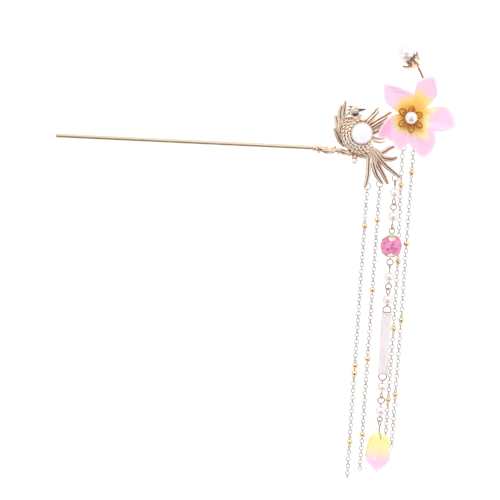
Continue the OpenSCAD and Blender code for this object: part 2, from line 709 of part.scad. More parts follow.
module bead_cap_top() {
    color(gilt) on_strand(2) bead_cap();
}

module bead_cap_bottom() {
    color(gilt) on_strand(2) mirror([0, 0, 1]) bead_cap();
}

// Glass tube with rounded rims
module tube_bead() {
    straight = tube_len - tube_wall;
    color(glass_white) on_strand(5) rotate_extrude($fn = 96) {
        translate([rim_r - tube_wall / 2, -straight / 2]) square([tube_wall, straight]);
        for (side = [-1, 1]) {
            translate([rim_r, side * straight / 2]) circle(d = tube_wall, $fn = 48);
        }
    }
}

// Sections of the drop from its top: depth as a share of its length, radius as a share of its diameter
DROP = [[0, 0.09], [0.03, 0.22], [0.10, 0.33], [0.20, 0.41], [0.32, 0.46], [0.45, 0.49], [0.56, 0.50],
    [0.66, 0.47], [0.75, 0.40], [0.83, 0.30], [0.90, 0.19], [0.96, 0.09], [1, 0.03]];
module drop() {
    folds = 5;
    sides = 30;
    color(petal_pink) on_strand(8) difference() {
        skin([for (row = DROP) [for (j = [0:sides - 1])
            let (
                a = -360 * j / sides,
                turn = (a + 540 - 110 * row[0]) * folds / 360,
                step = turn - floor(turn),
                r = drop_d * row[1] * (1 - 0.09 * row[0] * step))
            [r * cos(a), r * sin(a), -row[0] * drop_len]]]);
        translate([0, 0, -0.28 * drop_len - fit]) cylinder(d = pin_hole, h = drop_len, $fn = 32);
    }
}

stick();
phoenix_casting();
opal();
eye_stone();
branch_pearl();
flower();
flower_core();
core_pearl();
bud_pearl();
jump_ring(0);  // ring_1
jump_ring(1);  // ring_2
jump_ring(2);  // ring_3
jump_ring(3);  // ring_4
jump_ring(4);  // ring_5
chain(0, CHAIN_1);  // chain_1
chain(1, CHAIN_2);  // chain_2
chain_form(3, ROUTE_3, BALLS_3);  // chain_3
chain_form(4, ROUTE_4, BALLS_4);  // chain_4
pearl(0);  // pearl_1
pearl(1);  // pearl_2
pearl(3);  // pearl_3
pearl(4);  // pearl_4
pearl(6);  // pearl_5
pearl(7);  // pearl_6
pink_bead();
bead_cap_top();
bead_cap_bottom();
tube_bead();
drop();
pin(0);  // pin_1
pin(1);  // pin_2
pin(2);  // pin_3
pin(3);  // pin_4
pin(4);  // pin_5
pin(5);  // pin_6
pin(6);  // pin_7
pin(7);  // pin_8
pin(8);  // pin_9
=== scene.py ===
import math
import random

import bpy
import bmesh
from mathutils import Matrix, Vector, noise


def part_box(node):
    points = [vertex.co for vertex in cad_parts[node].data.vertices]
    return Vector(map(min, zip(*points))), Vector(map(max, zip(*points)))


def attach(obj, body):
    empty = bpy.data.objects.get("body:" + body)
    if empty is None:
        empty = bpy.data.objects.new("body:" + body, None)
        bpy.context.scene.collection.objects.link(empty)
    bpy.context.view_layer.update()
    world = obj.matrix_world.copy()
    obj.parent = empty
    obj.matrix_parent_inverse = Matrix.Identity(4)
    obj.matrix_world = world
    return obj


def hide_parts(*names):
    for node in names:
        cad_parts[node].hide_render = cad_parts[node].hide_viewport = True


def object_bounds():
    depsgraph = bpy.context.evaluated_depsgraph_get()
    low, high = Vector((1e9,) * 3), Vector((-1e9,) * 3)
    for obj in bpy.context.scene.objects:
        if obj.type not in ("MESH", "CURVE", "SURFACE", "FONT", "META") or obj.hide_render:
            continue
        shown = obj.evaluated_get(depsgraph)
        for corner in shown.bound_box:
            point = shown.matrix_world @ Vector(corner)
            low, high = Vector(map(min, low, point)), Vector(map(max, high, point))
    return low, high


# Sizes and places are in millimetres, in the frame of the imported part: X runs along the stick, the front
# faces -Y and +Z is up
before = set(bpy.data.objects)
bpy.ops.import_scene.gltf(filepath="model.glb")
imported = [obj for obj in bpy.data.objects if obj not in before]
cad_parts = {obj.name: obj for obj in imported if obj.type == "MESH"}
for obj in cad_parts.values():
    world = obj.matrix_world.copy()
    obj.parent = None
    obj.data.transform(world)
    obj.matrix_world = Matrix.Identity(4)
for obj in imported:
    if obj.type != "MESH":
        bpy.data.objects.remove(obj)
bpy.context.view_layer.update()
mm = 0.001
random.seed(11)
print("frame loaded:", len(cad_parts), "nodes")


def nodeBox(name):
    low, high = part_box(name)
    return {"low": low / mm, "high": high / mm, "middle": (low + high) / 2 / mm}


# Camera
camera = {
    "azimuth": -10.0,  # degrees, as the photograph was taken
    "elevation": 7.73,
    "roll": -3.59,
    "distance": 900,
    "pixelSize": 0.4,  # mm on the object for one pixel
    "framePixels": 500,
    "originPixel": (313.0, 147.8),  # where the mouth of the branch's socket shows
    "sensor": 36,
    "clip": (0.02, 60),  # metres
}


def aimCamera():
    azimuth, elevation, roll = (math.radians(camera[k]) for k in ("azimuth", "elevation", "roll"))
    back = Vector((math.sin(azimuth) * math.cos(elevation), -math.cos(azimuth) * math.cos(elevation),
                   math.sin(elevation)))
    right = Vector((math.cos(azimuth), math.sin(azimuth), 0))
    up = back.cross(right)
    imageRight = right * math.cos(roll) - up * math.sin(roll)
    imageUp = right * math.sin(roll) + up * math.cos(roll)
    middle = camera["framePixels"] / 2
    originX, originY = camera["originPixel"]
    aim = (imageRight * (middle - originX) + imageUp * (originY - middle)) * camera["pixelSize"]
    data = bpy.data.cameras.new("camera")
    data.sensor_width = camera["sensor"]
    data.lens = camera["sensor"] * camera["distance"] / camera["pixelSize"] / camera["framePixels"]
    data.clip_start, data.clip_end = camera["clip"]
    eye = bpy.data.objects.new("camera", data)
    bpy.context.scene.collection.objects.link(eye)
    turn = Matrix((imageRight, imageUp, back)).transposed().to_4x4()
    eye.matrix_world = Matrix.Translation((aim + back * camera["distance"]) * mm) @ turn
    bpy.context.scene.camera = eye


aimCamera()
print("camera placed")


# Finishes
def toLinear(hexColour):
    parts = [int(hexColour[i:i + 2], 16) / 255 for i in (1, 3, 5)]
    return tuple(c / 12.92 if c <= 0.04045 else ((c + 0.055) / 1.055) ** 2.4 for c in parts) + (1.0,)


def addNode(tree, kind, inputs=None, stops=None, **settings):
    # inputs are values or sockets to link; a Mix node takes its share, first and second colour at 0, 6 and 7
    # and gives the mixed colour at 2
    node = tree.nodes.new("ShaderNode" + kind)
    for key, value in settings.items():
        setattr(node, key, value)
    for socket, value in (inputs or {}).items():
        if isinstance(value, bpy.types.NodeSocket):
            tree.links.new(value, node.inputs[socket])
        else:
            node.inputs[socket].default_value = value
    if stops:
        while len(node.color_ramp.elements) < len(stops):
            node.color_ramp.elements.new(1.0)
        for element, (place, colour) in zip(node.color_ramp.elements, stops):
            element.position = place
            element.color = toLinear(colour)
    return node


def startFinish(name, **values):
    finish = bpy.data.materials.new(name)
    finish.use_nodes = True
    shader = finish.node_tree.nodes["Principled BSDF"]
    for socket, value in values.items():
        shader.inputs[socket.replace("_", " ")].default_value = value
    return finish, finish.node_tree, shader


def perMetre(size):
    # scale of a pattern whose cells are so many mm
    return 1 / (size * mm)


giltCasting = {
    # flank and hollow are the tones of the painted shade and patina, laid where the mark asks for them
    "bright": "#FFF8EE", "rose": "#FFE1CA", "flank": "#E8B88E", "hollow": "#5E3D29",
    "cloud": 3.2,  # mm, size of the warmer patches
    "grain": 0.3,  # mm, pitting of the cast skin
    "barb": 0.55,  # mm between barbs of a feather, coarser than real so that they show
    "barbRelief": 0.25,  # against the grain's
    "flankAt": 0.15, "hollowAt": 0.9,  # how much painted shade and patina a place has where each tone is pure
    "brightEnd": 0.5,  # how much painted shade and patina a place has where nothing bright is left
    "roughness": (0.27, 0.5),  # on the heights, in the hollows
    "relief": 0.04,  # mm
}


def makeGiltCasting(name):
    # die-cast zinc alloy or stamped brass under champagne gold plating, tumbled bright, with patina and
    # painted shade in the hollows, between the parts and on lower sides: pale rose gold on the heights with
    # brown lines between the feathers
    finish, tree, shader = startFinish(name, Metallic=1.0)
    place = addNode(tree, "TexCoord").outputs["Object"]
    hollow, along, across = (addNode(tree, "Attribute", attribute_name=mark).outputs["Fac"]
                             for mark in ("hollow", "along", "across"))
    cloud = addNode(tree, "TexNoise", {"Vector": place, "Scale": perMetre(giltCasting["cloud"]),
                                       "Detail": 3.0})
    patches = addNode(tree, "MapRange", {"Value": cloud.outputs["Fac"], "From Min": 0.35, "From Max": 0.65})
    heights = addNode(tree, "Mix", {0: patches.outputs["Result"], 6: toLinear(giltCasting["bright"]),
                                    7: toLinear(giltCasting["rose"])}, data_type="RGBA")
    flanks = addNode(tree, "ValToRGB", {"Fac": hollow},
                     stops=[(giltCasting["flankAt"], giltCasting["flank"]),
                            (giltCasting["hollowAt"], giltCasting["hollow"])])
    lower = addNode(tree, "MapRange", {"Value": hollow, "From Min": 0.0,
                                       "From Max": giltCasting["brightEnd"]})
    dark = addNode(tree, "Mix", {0: lower.outputs["Result"], 6: heights.outputs[2],
                                 7: flanks.outputs["Color"]}, data_type="RGBA")
    tree.links.new(dark.outputs[2], shader.inputs["Base Color"])
    polished, dull = giltCasting["roughness"]
    rough = addNode(tree, "MapRange", {"Value": hollow, "To Min": polished, "To Max": dull})
    tree.links.new(rough.outputs["Result"], shader.inputs["Roughness"])
    grain = addNode(tree, "TexNoise", {"Vector": place, "Scale": perMetre(giltCasting["grain"]),
                                       "Detail": 2.0})
    # barbs slant outward from the shaft of a feather
    slant = addNode(tree, "Math", {0: across}, operation="ABSOLUTE")
    reach = addNode(tree, "Math", {0: along, 1: slant.outputs[0]}, operation="SUBTRACT")
    turns = addNode(tree, "Math", {0: reach.outputs[0], 1: 2 * math.pi / giltCasting["barb"]},
                    operation="MULTIPLY")
    barbs = addNode(tree, "Math", {0: turns.outputs[0]}, operation="SINE")
    relief = addNode(tree, "Math", {0: barbs.outputs[0], 1: giltCasting["barbRelief"],
                                    2: grain.outputs["Fac"]}, operation="MULTIPLY_ADD")
    bump = addNode(tree, "Bump", {"Height": relief.outputs[0], "Strength": 0.35,
                                  "Distance": giltCasting["relief"] * mm})
    tree.links.new(bump.outputs["Normal"], shader.inputs["Normal"])
    return finish


wireSkin = {"tone": 4, "drawLine": 0.12, "relief": 0.01}  # mm
giltWires = {
    "wire": {"name": "paleGiltBrassWire", "colour": "#D6C6B9", "shade": "#AA998D", "roughness": 0.18},
    "chain": {"name": "silveryGiltChainWire", "colour": "#DDD5CE", "shade": "#B5ABA6", "roughness": 0.2},
    "ball": {"name": "brightGiltHollowBall", "colour": "#FBE6C4", "shade": "#F1D2A8", "roughness": 0.09},
    # the rosette's deeper orange gold is a painted reflection of the yellow petals around it
    "rosette": {"name": "stampedBrassGiltPaintedReflection", "colour": "#DC964C", "shade": "#A8622C", "roughness": 0.24},
}


def makeGiltWire(name, colour, shade, roughness):
    # brass wire, or a small stamping or ball of brass, tumbled and gold plated: smooth and mirror-like with
    # faint draw marks
    finish, tree, shader = startFinish(name, Metallic=1.0, Roughness=roughness)
    place = addNode(tree, "TexCoord").outputs["Object"]
    tone = addNode(tree, "TexNoise", {"Vector": place, "Scale": perMetre(wireSkin["tone"]), "Detail": 2.0})
    mix = addNode(tree, "Mix", {0: tone.outputs["Fac"], 6: toLinear(colour), 7: toLinear(shade)},
                  data_type="RGBA")
    tree.links.new(mix.outputs[2], shader.inputs["Base Color"])
    marks = addNode(tree, "TexNoise", {"Vector": place, "Scale": perMetre(wireSkin["drawLine"]),
                                       "Detail": 1.0})
    bump = addNode(tree, "Bump", {"Height": marks.outputs["Fac"], "Strength": 0.12,
                                  "Distance": wireSkin["relief"] * mm})
    tree.links.new(bump.outputs["Normal"], shader.inputs["Normal"])
    return finish


stickRod = {
    "colour": "#F8EAD6", "shade": "#DCCAB2",
    "lineWide": 0.06, "lineLong": 9.0, "relief": 0.01,  # mm, brush marks
    "roughness": (0.14, 0.26),
}


def makeStickRod():
    # drawn brass rod, brushed along its length and plated: a satin champagne with a soft streak of light
    finish, tree, shader = startFinish("brushedGiltBrassRod", Metallic=1.0)
    place = addNode(tree, "TexCoord").outputs["Object"]
    long, wide = perMetre(stickRod["lineLong"]), perMetre(stickRod["lineWide"])
    stretch = addNode(tree, "Mapping", {"Vector": place, "Scale": (long, wide, wide)})
    lines = addNode(tree, "TexNoise", {"Vector": stretch.outputs[0], "Scale": 1.0, "Detail": 3.0})
    mix = addNode(tree, "Mix", {0: lines.outputs["Fac"], 6: toLinear(stickRod["colour"]),
                                7: toLinear(stickRod["shade"])}, data_type="RGBA")
    tree.links.new(mix.outputs[2], shader.inputs["Base Color"])
    smooth, dull = stickRod["roughness"]
    rough = addNode(tree, "MapRange", {"Value": lines.outputs["Fac"], "To Min": smooth, "To Max": dull})
    tree.links.new(rough.outputs["Result"], shader.inputs["Roughness"])
    bump = addNode(tree, "Bump", {"Height": lines.outputs["Fac"], "Strength": 0.15,
                                  "Distance": stickRod["relief"] * mm})
    tree.links.new(bump.outputs["Normal"], shader.inputs["Normal"])
    return finish


pearlCloud = 2.0  # mm
pearls = {
    "pearl": {"name": "whitePearlLacquer", "cream": "#F6F2F0", "rose": "#E9DEE0"},
    "eyeStone": {"name": "greyPearlLacquer", "cream": "#D9D1C8", "rose": "#C4BAB2"},
}


def makePearl(name, cream, rose):
    # imitation pearl, layers of lacquer with mica flakes on a bead: the flakes mirror the room softly under
    # the gloss
    finish, tree, shader = startFinish(name, Roughness=0.24, IOR=1.53, Metallic=0.45, Coat_Weight=0.8,
                                       Coat_Roughness=0.04)
    place = addNode(tree, "TexCoord").outputs["Object"]
    cloud = addNode(tree, "TexNoise", {"Vector": place, "Scale": perMetre(pearlCloud), "Detail": 2.0})
    lustre = addNode(tree, "Mix", {0: cloud.outputs["Fac"], 6: toLinear(cream), 7: toLinear(rose)},
                     data_type="RGBA")
    tree.links.new(lustre.outputs[2], shader.inputs["Base Color"])
    return finish


opalGlass = {
    "milk": "#F9FAFE", "cyan": "#EDF3FD", "lilac": "#F3ECF9", "pink": "#F8D8EA",
    "patch": 3.5,  # mm
    "blush": 1.6,  # mm, height of the pink lower edge
    "scatter": 1.2,  # mm
}


def makeOpal():
    # opal glass cabochon, fire polished: milky white with faint cyan and lilac clouds and a pink lower edge
    finish, tree, shader = startFinish("milkyOpalGlass", Roughness=0.07, IOR=1.5, Subsurface_Weight=0.35,
                                       Subsurface_Scale=opalGlass["scatter"] * mm, Coat_Weight=0.5,
                                       Coat_Roughness=0.03)
    place = addNode(tree, "TexCoord").outputs["Object"]
    cloud = addNode(tree, "TexNoise", {"Vector": place, "Scale": perMetre(opalGlass["patch"]), "Detail": 2.0})
    play = addNode(tree, "ValToRGB", {"Fac": cloud.outputs["Fac"]},
                   stops=[(0.35, opalGlass["cyan"]), (0.5, opalGlass["milk"]), (0.66, opalGlass["lilac"])])
    bottom = nodeBox("opal")["low"].z
    height = addNode(tree, "SeparateXYZ", {"Vector": place})
    foot = addNode(tree, "MapRange", {"Value": height.outputs["Z"], "From Max": bottom * mm,
                                      "From Min": (bottom + opalGlass["blush"]) * mm})
    blush = addNode(tree, "Mix", {0: foot.outputs["Result"], 6: play.outputs["Color"],
                                  7: toLinear(opalGlass["pink"])}, data_type="RGBA")
    tree.links.new(blush.outputs[2], shader.inputs["Base Color"])
    return finish


petalResin = {
    "pink": "#F1CBE2", "lilac": "#F1D1EA", "deep": "#F0B4D5", "orange": "#F8C163", "lemon": "#FAD66C",
    # crease is grey painted shade along the folds and the rolled rim
    "pale": "#FAEBBE", "rim": "#F3E6EF", "crease": "#D3BCD2",
    "vein": 1.1, "cloud": 5, "scatter": 1.2, "relief": 0.1,  # mm
    "cloudShare": 0.24,  # how far the clouds push the yellow's edge in and out
    "yellow": (0.3, 0.85), "orangeFrom": (0.72, 1.05),  # where each comes in, on the way to the heart
}


def makePetalResin():
    # cast resin petals, tinted in the mould with pearl powder: translucent, yellow at the heart, pink outside
    finish, tree, shader = startFinish("tintedCastResinPetal", Roughness=0.34, IOR=1.5, Subsurface_Weight=0.4,
                                       Subsurface_Scale=petalResin["scatter"] * mm, Coat_Weight=0.15,
                                       Coat_Roughness=0.2)
    place = addNode(tree, "TexCoord").outputs["Object"]
    mark = {name: addNode(tree, "Attribute", attribute_name=name).outputs["Fac"]
            for name in ("heart", "pale", "rim", "fold", "lilac", "crease", "across")}
    cloud = addNode(tree, "TexNoise", {"Vector": place, "Scale": perMetre(petalResin["cloud"]),
                                       "Detail": 3.0})
    soft = addNode(tree, "Math", {0: cloud.outputs["Fac"], 1: petalResin["cloudShare"], 2: mark["heart"]},
                   operation="MULTIPLY_ADD")
    warm, hot = (addNode(tree, "MapRange", {"Value": soft.outputs[0], "From Min": start, "From Max": end},
                         interpolation_type="SMOOTHSTEP").outputs["Result"]
                 for start, end in (petalResin["yellow"], petalResin["orangeFrom"]))
    tint = {name: toLinear(petalResin[name])
            for name in ("pink", "lilac", "deep", "orange", "lemon", "pale", "rim", "crease")}
    # each new tint: where its second tint covers the first
    for name, share, first, second in (
            ("outer", mark["lilac"], "pink", "lilac"), ("folded", mark["fold"], "outer", "deep"),
            ("yellow", mark["pale"], "lemon", "pale"), ("amber", mark["pale"], "orange", "lemon"),
            ("heart", hot, "yellow", "amber"), ("flush", warm, "folded", "heart"),
            ("creased", mark["crease"], "flush", "crease"), ("edged", mark["rim"], "creased", "rim")):
        mix = addNode(tree, "Mix", {0: share, 6: tint[first], 7: tint[second]}, data_type="RGBA")
        tint[name] = mix.outputs[2]
    tree.links.new(tint["edged"], shader.inputs["Base Color"])
    spread = addNode(tree, "Math", {0: mark["across"], 1: 2 * math.pi / petalResin["vein"]},
                     operation="MULTIPLY")
    veins = addNode(tree, "Math", {0: spread.outputs[0]}, operation="SINE")
    relief = addNode(tree, "Math", {0: veins.outputs[0], 1: 0.3, 2: cloud.outputs["Fac"]},
                     operation="MULTIPLY_ADD")
    bump = addNode(tree, "Bump", {"Height": relief.outputs[0], "Strength": 0.12,
                                  "Distance": petalResin["relief"] * mm})
    tree.links.new(bump.outputs["Normal"], shader.inputs["Normal"])
    return finish


dropResin = {
    # share of the way down and tint there
    "tints": [(0.0, "#F9F2DC"), (0.17, "#F9E596"), (0.4, "#FAE8B0"), (0.6, "#FADFCB"), (0.8, "#F8CAEE"),
              (1.0, "#F9D8F5")],
    "edge": "#FFFAF0", "stem": "#8C7C62",
    "cloud": 4, "scatter": 2, "relief": 0.2,  # mm
    "cloudShare": 0.16,
}


def makeDropResin():
    # cast resin bud, dipped in two tints: lemon at the top, cream, then pink at the tip
    finish, tree, shader = startFinish("tintedCastResinBud", Roughness=0.36, IOR=1.5, Subsurface_Weight=0.6,
                                       Subsurface_Scale=dropResin["scatter"] * mm, Coat_Weight=0.1,
                                       Coat_Roughness=0.25)
    place = addNode(tree, "TexCoord").outputs["Object"]
    box = nodeBox("drop")
    height = addNode(tree, "SeparateXYZ", {"Vector": place})
    cloud = addNode(tree, "TexNoise", {"Vector": place, "Scale": perMetre(dropResin["cloud"]), "Detail": 2.0})
    share = addNode(tree, "MapRange", {"Value": height.outputs["Z"], "From Min": box["high"].z * mm,
                                       "From Max": box["low"].z * mm})
    soft = addNode(tree, "Math", {0: cloud.outputs["Fac"], 1: dropResin["cloudShare"],
                                  2: share.outputs["Result"]}, operation="MULTIPLY_ADD")
    shown = addNode(tree, "ValToRGB", {"Fac": soft.outputs[0]}, stops=dropResin["tints"]).outputs["Color"]
    for mark, colour in (("rim", "edge"), ("stem", "stem")):  # laps of the petals, and the pin inside
        covered = addNode(tree, "Attribute", attribute_name=mark).outputs["Fac"]
        mix = addNode(tree, "Mix", {0: covered, 6: shown, 7: toLinear(dropResin[colour])}, data_type="RGBA")
        shown = mix.outputs[2]
    tree.links.new(shown, shader.inputs["Base Color"])
    bump = addNode(tree, "Bump", {"Height": cloud.outputs["Fac"], "Strength": 0.1,
                                  "Distance": dropResin["relief"] * mm})
    tree.links.new(bump.outputs["Normal"], shader.inputs["Normal"])
    return finish


crackleGlass = {
    "pink": "#E66FAE", "light": "#F49CCB", "dark": "#D65A9C", "crack": "#F9BEDD",
    "cell": 1.7, "wander": 2, "shake": 1.2, "scatter": 1, "relief": 0.25,  # mm
    "crackWide": 0.09,  # of a cell
    "crackShows": 0.6,
}


def makeCrackleGlass():
    # pink glass quenched so that it crackled inside, then polished: bright splinters with pale cracks
    finish, tree, shader = startFinish("pinkCrackleGlass", Roughness=0.08, IOR=1.5, Transmission_Weight=0.15,
                                       Subsurface_Weight=0.1, Subsurface_Scale=crackleGlass["scatter"] * mm,
                                       Coat_Weight=0.6, Coat_Roughness=0.03)
    place = addNode(tree, "TexCoord").outputs["Object"]
    wander = addNode(tree, "TexNoise", {"Vector": place, "Scale": perMetre(crackleGlass["wander"]),
                                        "Detail": 2.0})
    shake = addNode(tree, "VectorMath", {0: wander.outputs["Color"], 1: (crackleGlass["shake"] * mm,) * 3},
                    operation="MULTIPLY")
    moved = addNode(tree, "VectorMath", {0: place, 1: shake.outputs[0]}, operation="ADD")
    cellInputs = {"Vector": moved.outputs[0], "Scale": perMetre(crackleGlass["cell"])}
    cells = addNode(tree, "TexVoronoi", cellInputs)
    grey = addNode(tree, "RGBToBW", {"Color": cells.outputs["Color"]})
    tones = zip((0.2, 0.5, 0.8), (crackleGlass[tone] for tone in ("dark", "pink", "light")))
    shards = addNode(tree, "ValToRGB", {"Fac": grey.outputs[0]}, stops=list(tones))
    cracks = addNode(tree, "TexVoronoi", cellInputs, feature="DISTANCE_TO_EDGE")
    line = addNode(tree, "MapRange", {"Value": cracks.outputs["Distance"], "From Min": 0.0, "To Max": 0.0,
                                      "From Max": crackleGlass["crackWide"],
                                      "To Min": crackleGlass["crackShows"]})
    pale = addNode(tree, "Mix", {0: line.outputs["Result"], 6: shards.outputs["Color"],
                                 7: toLinear(crackleGlass["crack"])}, data_type="RGBA")
    tree.links.new(pale.outputs[2], shader.inputs["Base Color"])
    bump = addNode(tree, "Bump", {"Height": cells.outputs["Distance"], "Strength": 0.3,
                                  "Distance": crackleGlass["relief"] * mm})
    tree.links.new(bump.outputs["Normal"], shader.inputs["Normal"])
    return finish


tubeGlass = {
    "milk": "#F0E3E4", "pink": "#EBD9DD", "grey": "#DACDCF", "crack": "#F8F2F4",
    "streak": 1.0, "crackCell": 2.6, "scatter": 1.5, "relief": 0.05,  # mm
    "streakLong": 9,  # times as long as wide
    "crackWide": 0.06,  # of a cell
    "crackShows": 0.35,
    "wire": 0.5,  # mm, of the loops inside
    "wireBand": (0.1, 0.32),  # mm from the wire's middle, where its shade starts to fade and where it ends
    "through": 0.55,  # how much of a loop shows
}


def makeTubeGlass():
    # drawn tube of milky quartz glass, tumbled: pinkish white with faint long streaks
    finish, tree, shader = startFinish("milkyGlassTube", Roughness=0.26, IOR=1.5, Subsurface_Weight=0.4,
                                       Subsurface_Scale=tubeGlass["scatter"] * mm, Coat_Weight=0.3,
                                       Coat_Roughness=0.12)
    place = addNode(tree, "TexCoord").outputs["Object"]
    wide = perMetre(tubeGlass["streak"])
    long = wide / tubeGlass["streakLong"]
    stretch = addNode(tree, "Mapping", {"Vector": place, "Scale": (wide, wide, long)})
    streaks = addNode(tree, "TexNoise", {"Vector": stretch.outputs[0], "Scale": 1.0, "Detail": 2.0})
    tone = addNode(tree, "ValToRGB", {"Fac": streaks.outputs["Fac"]},
                   stops=[(0.3, tubeGlass["grey"]), (0.5, tubeGlass["milk"]), (0.7, tubeGlass["pink"])])
    cracks = addNode(tree, "TexVoronoi", {"Vector": place, "Scale": perMetre(tubeGlass["crackCell"])},
                     feature="DISTANCE_TO_EDGE")
    line = addNode(tree, "MapRange", {"Value": cracks.outputs["Distance"], "From Min": 0.0, "To Max": 0.0,
                                      "From Max": tubeGlass["crackWide"], "To Min": tubeGlass["crackShows"]})
    shown = addNode(tree, "Mix", {0: line.outputs["Result"], 6: tone.outputs["Color"],
                                  7: toLinear(tubeGlass["crack"])}, data_type="RGBA").outputs[2]
    bandStart, bandEnd = tubeGlass["wireBand"]
    for pin, loopIsLow in (("pin_5", True), ("pin_7", False)):  # the wide loops show through the tube's ends
        box = nodeBox(pin)
        loop = (box["high"].x - box["low"].x) / 2
        loopAt = box["middle"].copy()
        loopAt.z = box["low"].z + loop if loopIsLow else box["high"].z - loop
        offset = addNode(tree, "VectorMath", {0: place, 1: loopAt * mm}, operation="SUBTRACT")
        flat = addNode(tree, "VectorMath", {0: offset.outputs[0], 1: (1, 0, 1)}, operation="MULTIPLY")
        far = addNode(tree, "VectorMath", {0: flat.outputs[0]}, operation="LENGTH")
        beside = addNode(tree, "Math", {0: far.outputs["Value"], 1: (loop - tubeGlass["wire"] / 2) * mm},
                         operation="SUBTRACT")
        apart = addNode(tree, "Math", {0: beside.outputs[0]}, operation="ABSOLUTE")
        band = addNode(tree, "MapRange", {"Value": apart.outputs[0], "From Min": bandStart * mm,
                                          "From Max": bandEnd * mm, "To Min": tubeGlass["through"],
                                          "To Max": 0.0})
        shown = addNode(tree, "Mix", {0: band.outputs["Result"], 6: shown,
                                      7: toLinear(giltWires["wire"]["shade"])}, data_type="RGBA").outputs[2]
    tree.links.new(shown, shader.inputs["Base Color"])
    bump = addNode(tree, "Bump", {"Height": streaks.outputs["Fac"], "Strength": 0.1,
                                  "Distance": tubeGlass["relief"] * mm})
    tree.links.new(bump.outputs["Normal"], shader.inputs["Normal"])
    return finish


finishes = {
    "casting": makeGiltCasting("champagneGiltOnCastZinc"),
    "cap": makeGiltCasting("champagneGiltOnStampedBrass"),
    "stick": makeStickRod(),
    "opal": makeOpal(),
    "petal": makePetalResin(),
    "drop": makeDropResin(),
    "pinkGlass": makeCrackleGlass(),
    "tubeGlass": makeTubeGlass(),
}
for key, look in giltWires.items():
    finishes[key] = makeGiltWire(**look)
for key, look in pearls.items():
    finishes[key] = makePearl(**look)
print("finishes made:", len(finishes))


# Mesh tools
def splineAt(points, t):
    # smooth curve through given points, t from 0 to the number of stretches
    last = len(points) - 1
    i = min(int(t), last - 1)
    f = t - i
    a, b, c, d = (points[max(i - 1, 0)], points[i], points[i + 1], points[min(i + 2, last)])
    return [0.5 * (2 * q + (r - p) * f + (2 * p - 5 * q + 4 * r - s) * f * f
                   + (3 * q - p - 3 * r + s) * f ** 3) for p, q, r, s in zip(a, b, c, d)]


def valueAt(values, share):
    return splineAt([(v,) for v in values], share * (len(values) - 1))[0]


def circle(count):
    # cosine and sine for each step of a full turn
    return [(math.cos(2 * math.pi * k / count), math.sin(2 * math.pi * k / count)) for k in range(count)]


def between(low, value, high):
    return max(low, min(high, value))


def pointsFrom(start, offsets):
    return [start + Vector(offset) for offset in offsets]


def newPiece():
    return {"points": [], "faces": [], "marks": {}}


def addRings(piece, rings, marks=None, closed=False):
    # rings of equally many points joined by quads; marks holds a row of values for each ring
    base, around = len(piece["points"]), len(rings[0])
    for name in (marks or {}):
        piece["marks"].setdefault(name, [0.0] * base)
    for row, ring in enumerate(rings):
        piece["points"].extend(Vector(p) for p in ring)
        for name, values in piece["marks"].items():
            values.extend(marks[name][row] if marks and name in marks else [0.0] * around)
    for row in range(len(rings) if closed else len(rings) - 1):
        here, there = base + row * around, base + (row + 1) % len(rings) * around
        for k in range(around):
            after = (k + 1) % around
            piece["faces"].append((here + k, here + after, there + after, there + k))
    if not closed:
        end = base + (len(rings) - 1) * around
        piece["faces"].append(tuple(base + k for k in reversed(range(around))))
        piece["faces"].append(tuple(end + k for k in range(around)))


towardsFront = Vector((0, -1, 0))


def walk(path, spacing, closed=False, front=towardsFront):
    # places along a smooth path: centre, side and front directions, share of the way, length so far
    points = [Vector(p) for p in path]
    loop = points + points[:1] if closed else points
    fine = 8 * len(loop)
    rough = [Vector(splineAt(loop, i * (len(loop) - 1) / fine)) for i in range(fine + 1)]
    length = sum((b - a).length for a, b in zip(rough, rough[1:]))
    count = max(4, round(length / spacing))
    if closed:
        padded = points[-1:] + points + points[:2]
        centres = [Vector(splineAt(padded, 1 + i * len(points) / count)) for i in range(count)]
    else:
        centres = [Vector(splineAt(points, i * (len(points) - 1) / count)) for i in range(count + 1)]
    places = []
    for i, centre in enumerate(centres):
        before = centres[i - 1] if i or closed else centre
        after = centres[(i + 1) % len(centres)] if closed or i + 1 < len(centres) else centre
        along = (after - before).normalized()
        face = (front - along * front.dot(along)).normalized()
        places.append((centre, face.cross(along), face, i / count, length * i / count))
    return places


wireBack = {"from": -0.5, "hollow": 0.15}  # share of its painted shade and patina that a wire's back keeps


def addWire(piece, path, radius, spacing=0.4, sides=10, closed=False, front=towardsFront, hollow=0.0,
            flat=1.0):
    radii = radius if isinstance(radius, (list, tuple)) else (radius, radius)
    rings = []
    for centre, side, face, share, _ in walk(path, spacing, closed, front):
        r = valueAt(radii, share)
        rings.append([centre + side * (r * c) + face * (r * flat * s) for c, s in circle(sides)])
    # painted shade and patina on the wire's front and sides, little on its back
    row = [hollow * (1.0 if s > wireBack["from"] else wireBack["hollow"]) for _, s in circle(sides)]
    addRings(piece, rings, {"hollow": [row] * len(rings)}, closed=closed)


def addBall(piece, centre, radius, stretch=(1, 1, 1), rows=10, around=16, hollow=0.0):
    wide, deep, high = (radius * share for share in stretch)
    rings = []
    for row in range(rows + 1):
        polar = math.pi * (0.02 + 0.96 * row / rows)  # stops short of the poles, which are small flat caps
        flat, level = math.sin(polar), -high * math.cos(polar)
        rings.append([Vector(centre) + Vector((wide * flat * c, deep * flat * s, level))
                      for c, s in circle(around)])
    addRings(piece, rings, {"hollow": [[hollow] * around] * (rows + 1)})


featherForm = {
    "grooveHalf": 0.22, "rimFrom": 0.86,  # shares of the half width
    "edge": 0.6, "backEdge": 0.9, "backDeep": 0.75,  # how full each side is, and the back's depth
    "tipThin": 0.45, "tipWide": 0.1,  # what the tip loses in depth and keeps in width
    # painted shade along the rims where feathers meet, and a little on the back
    "rimDark": 0.95, "rimSoft": 1.3, "backDark": 0.15,
    "rootLong": 1 / 3,  # share of the length that the painted shade at a root takes
}


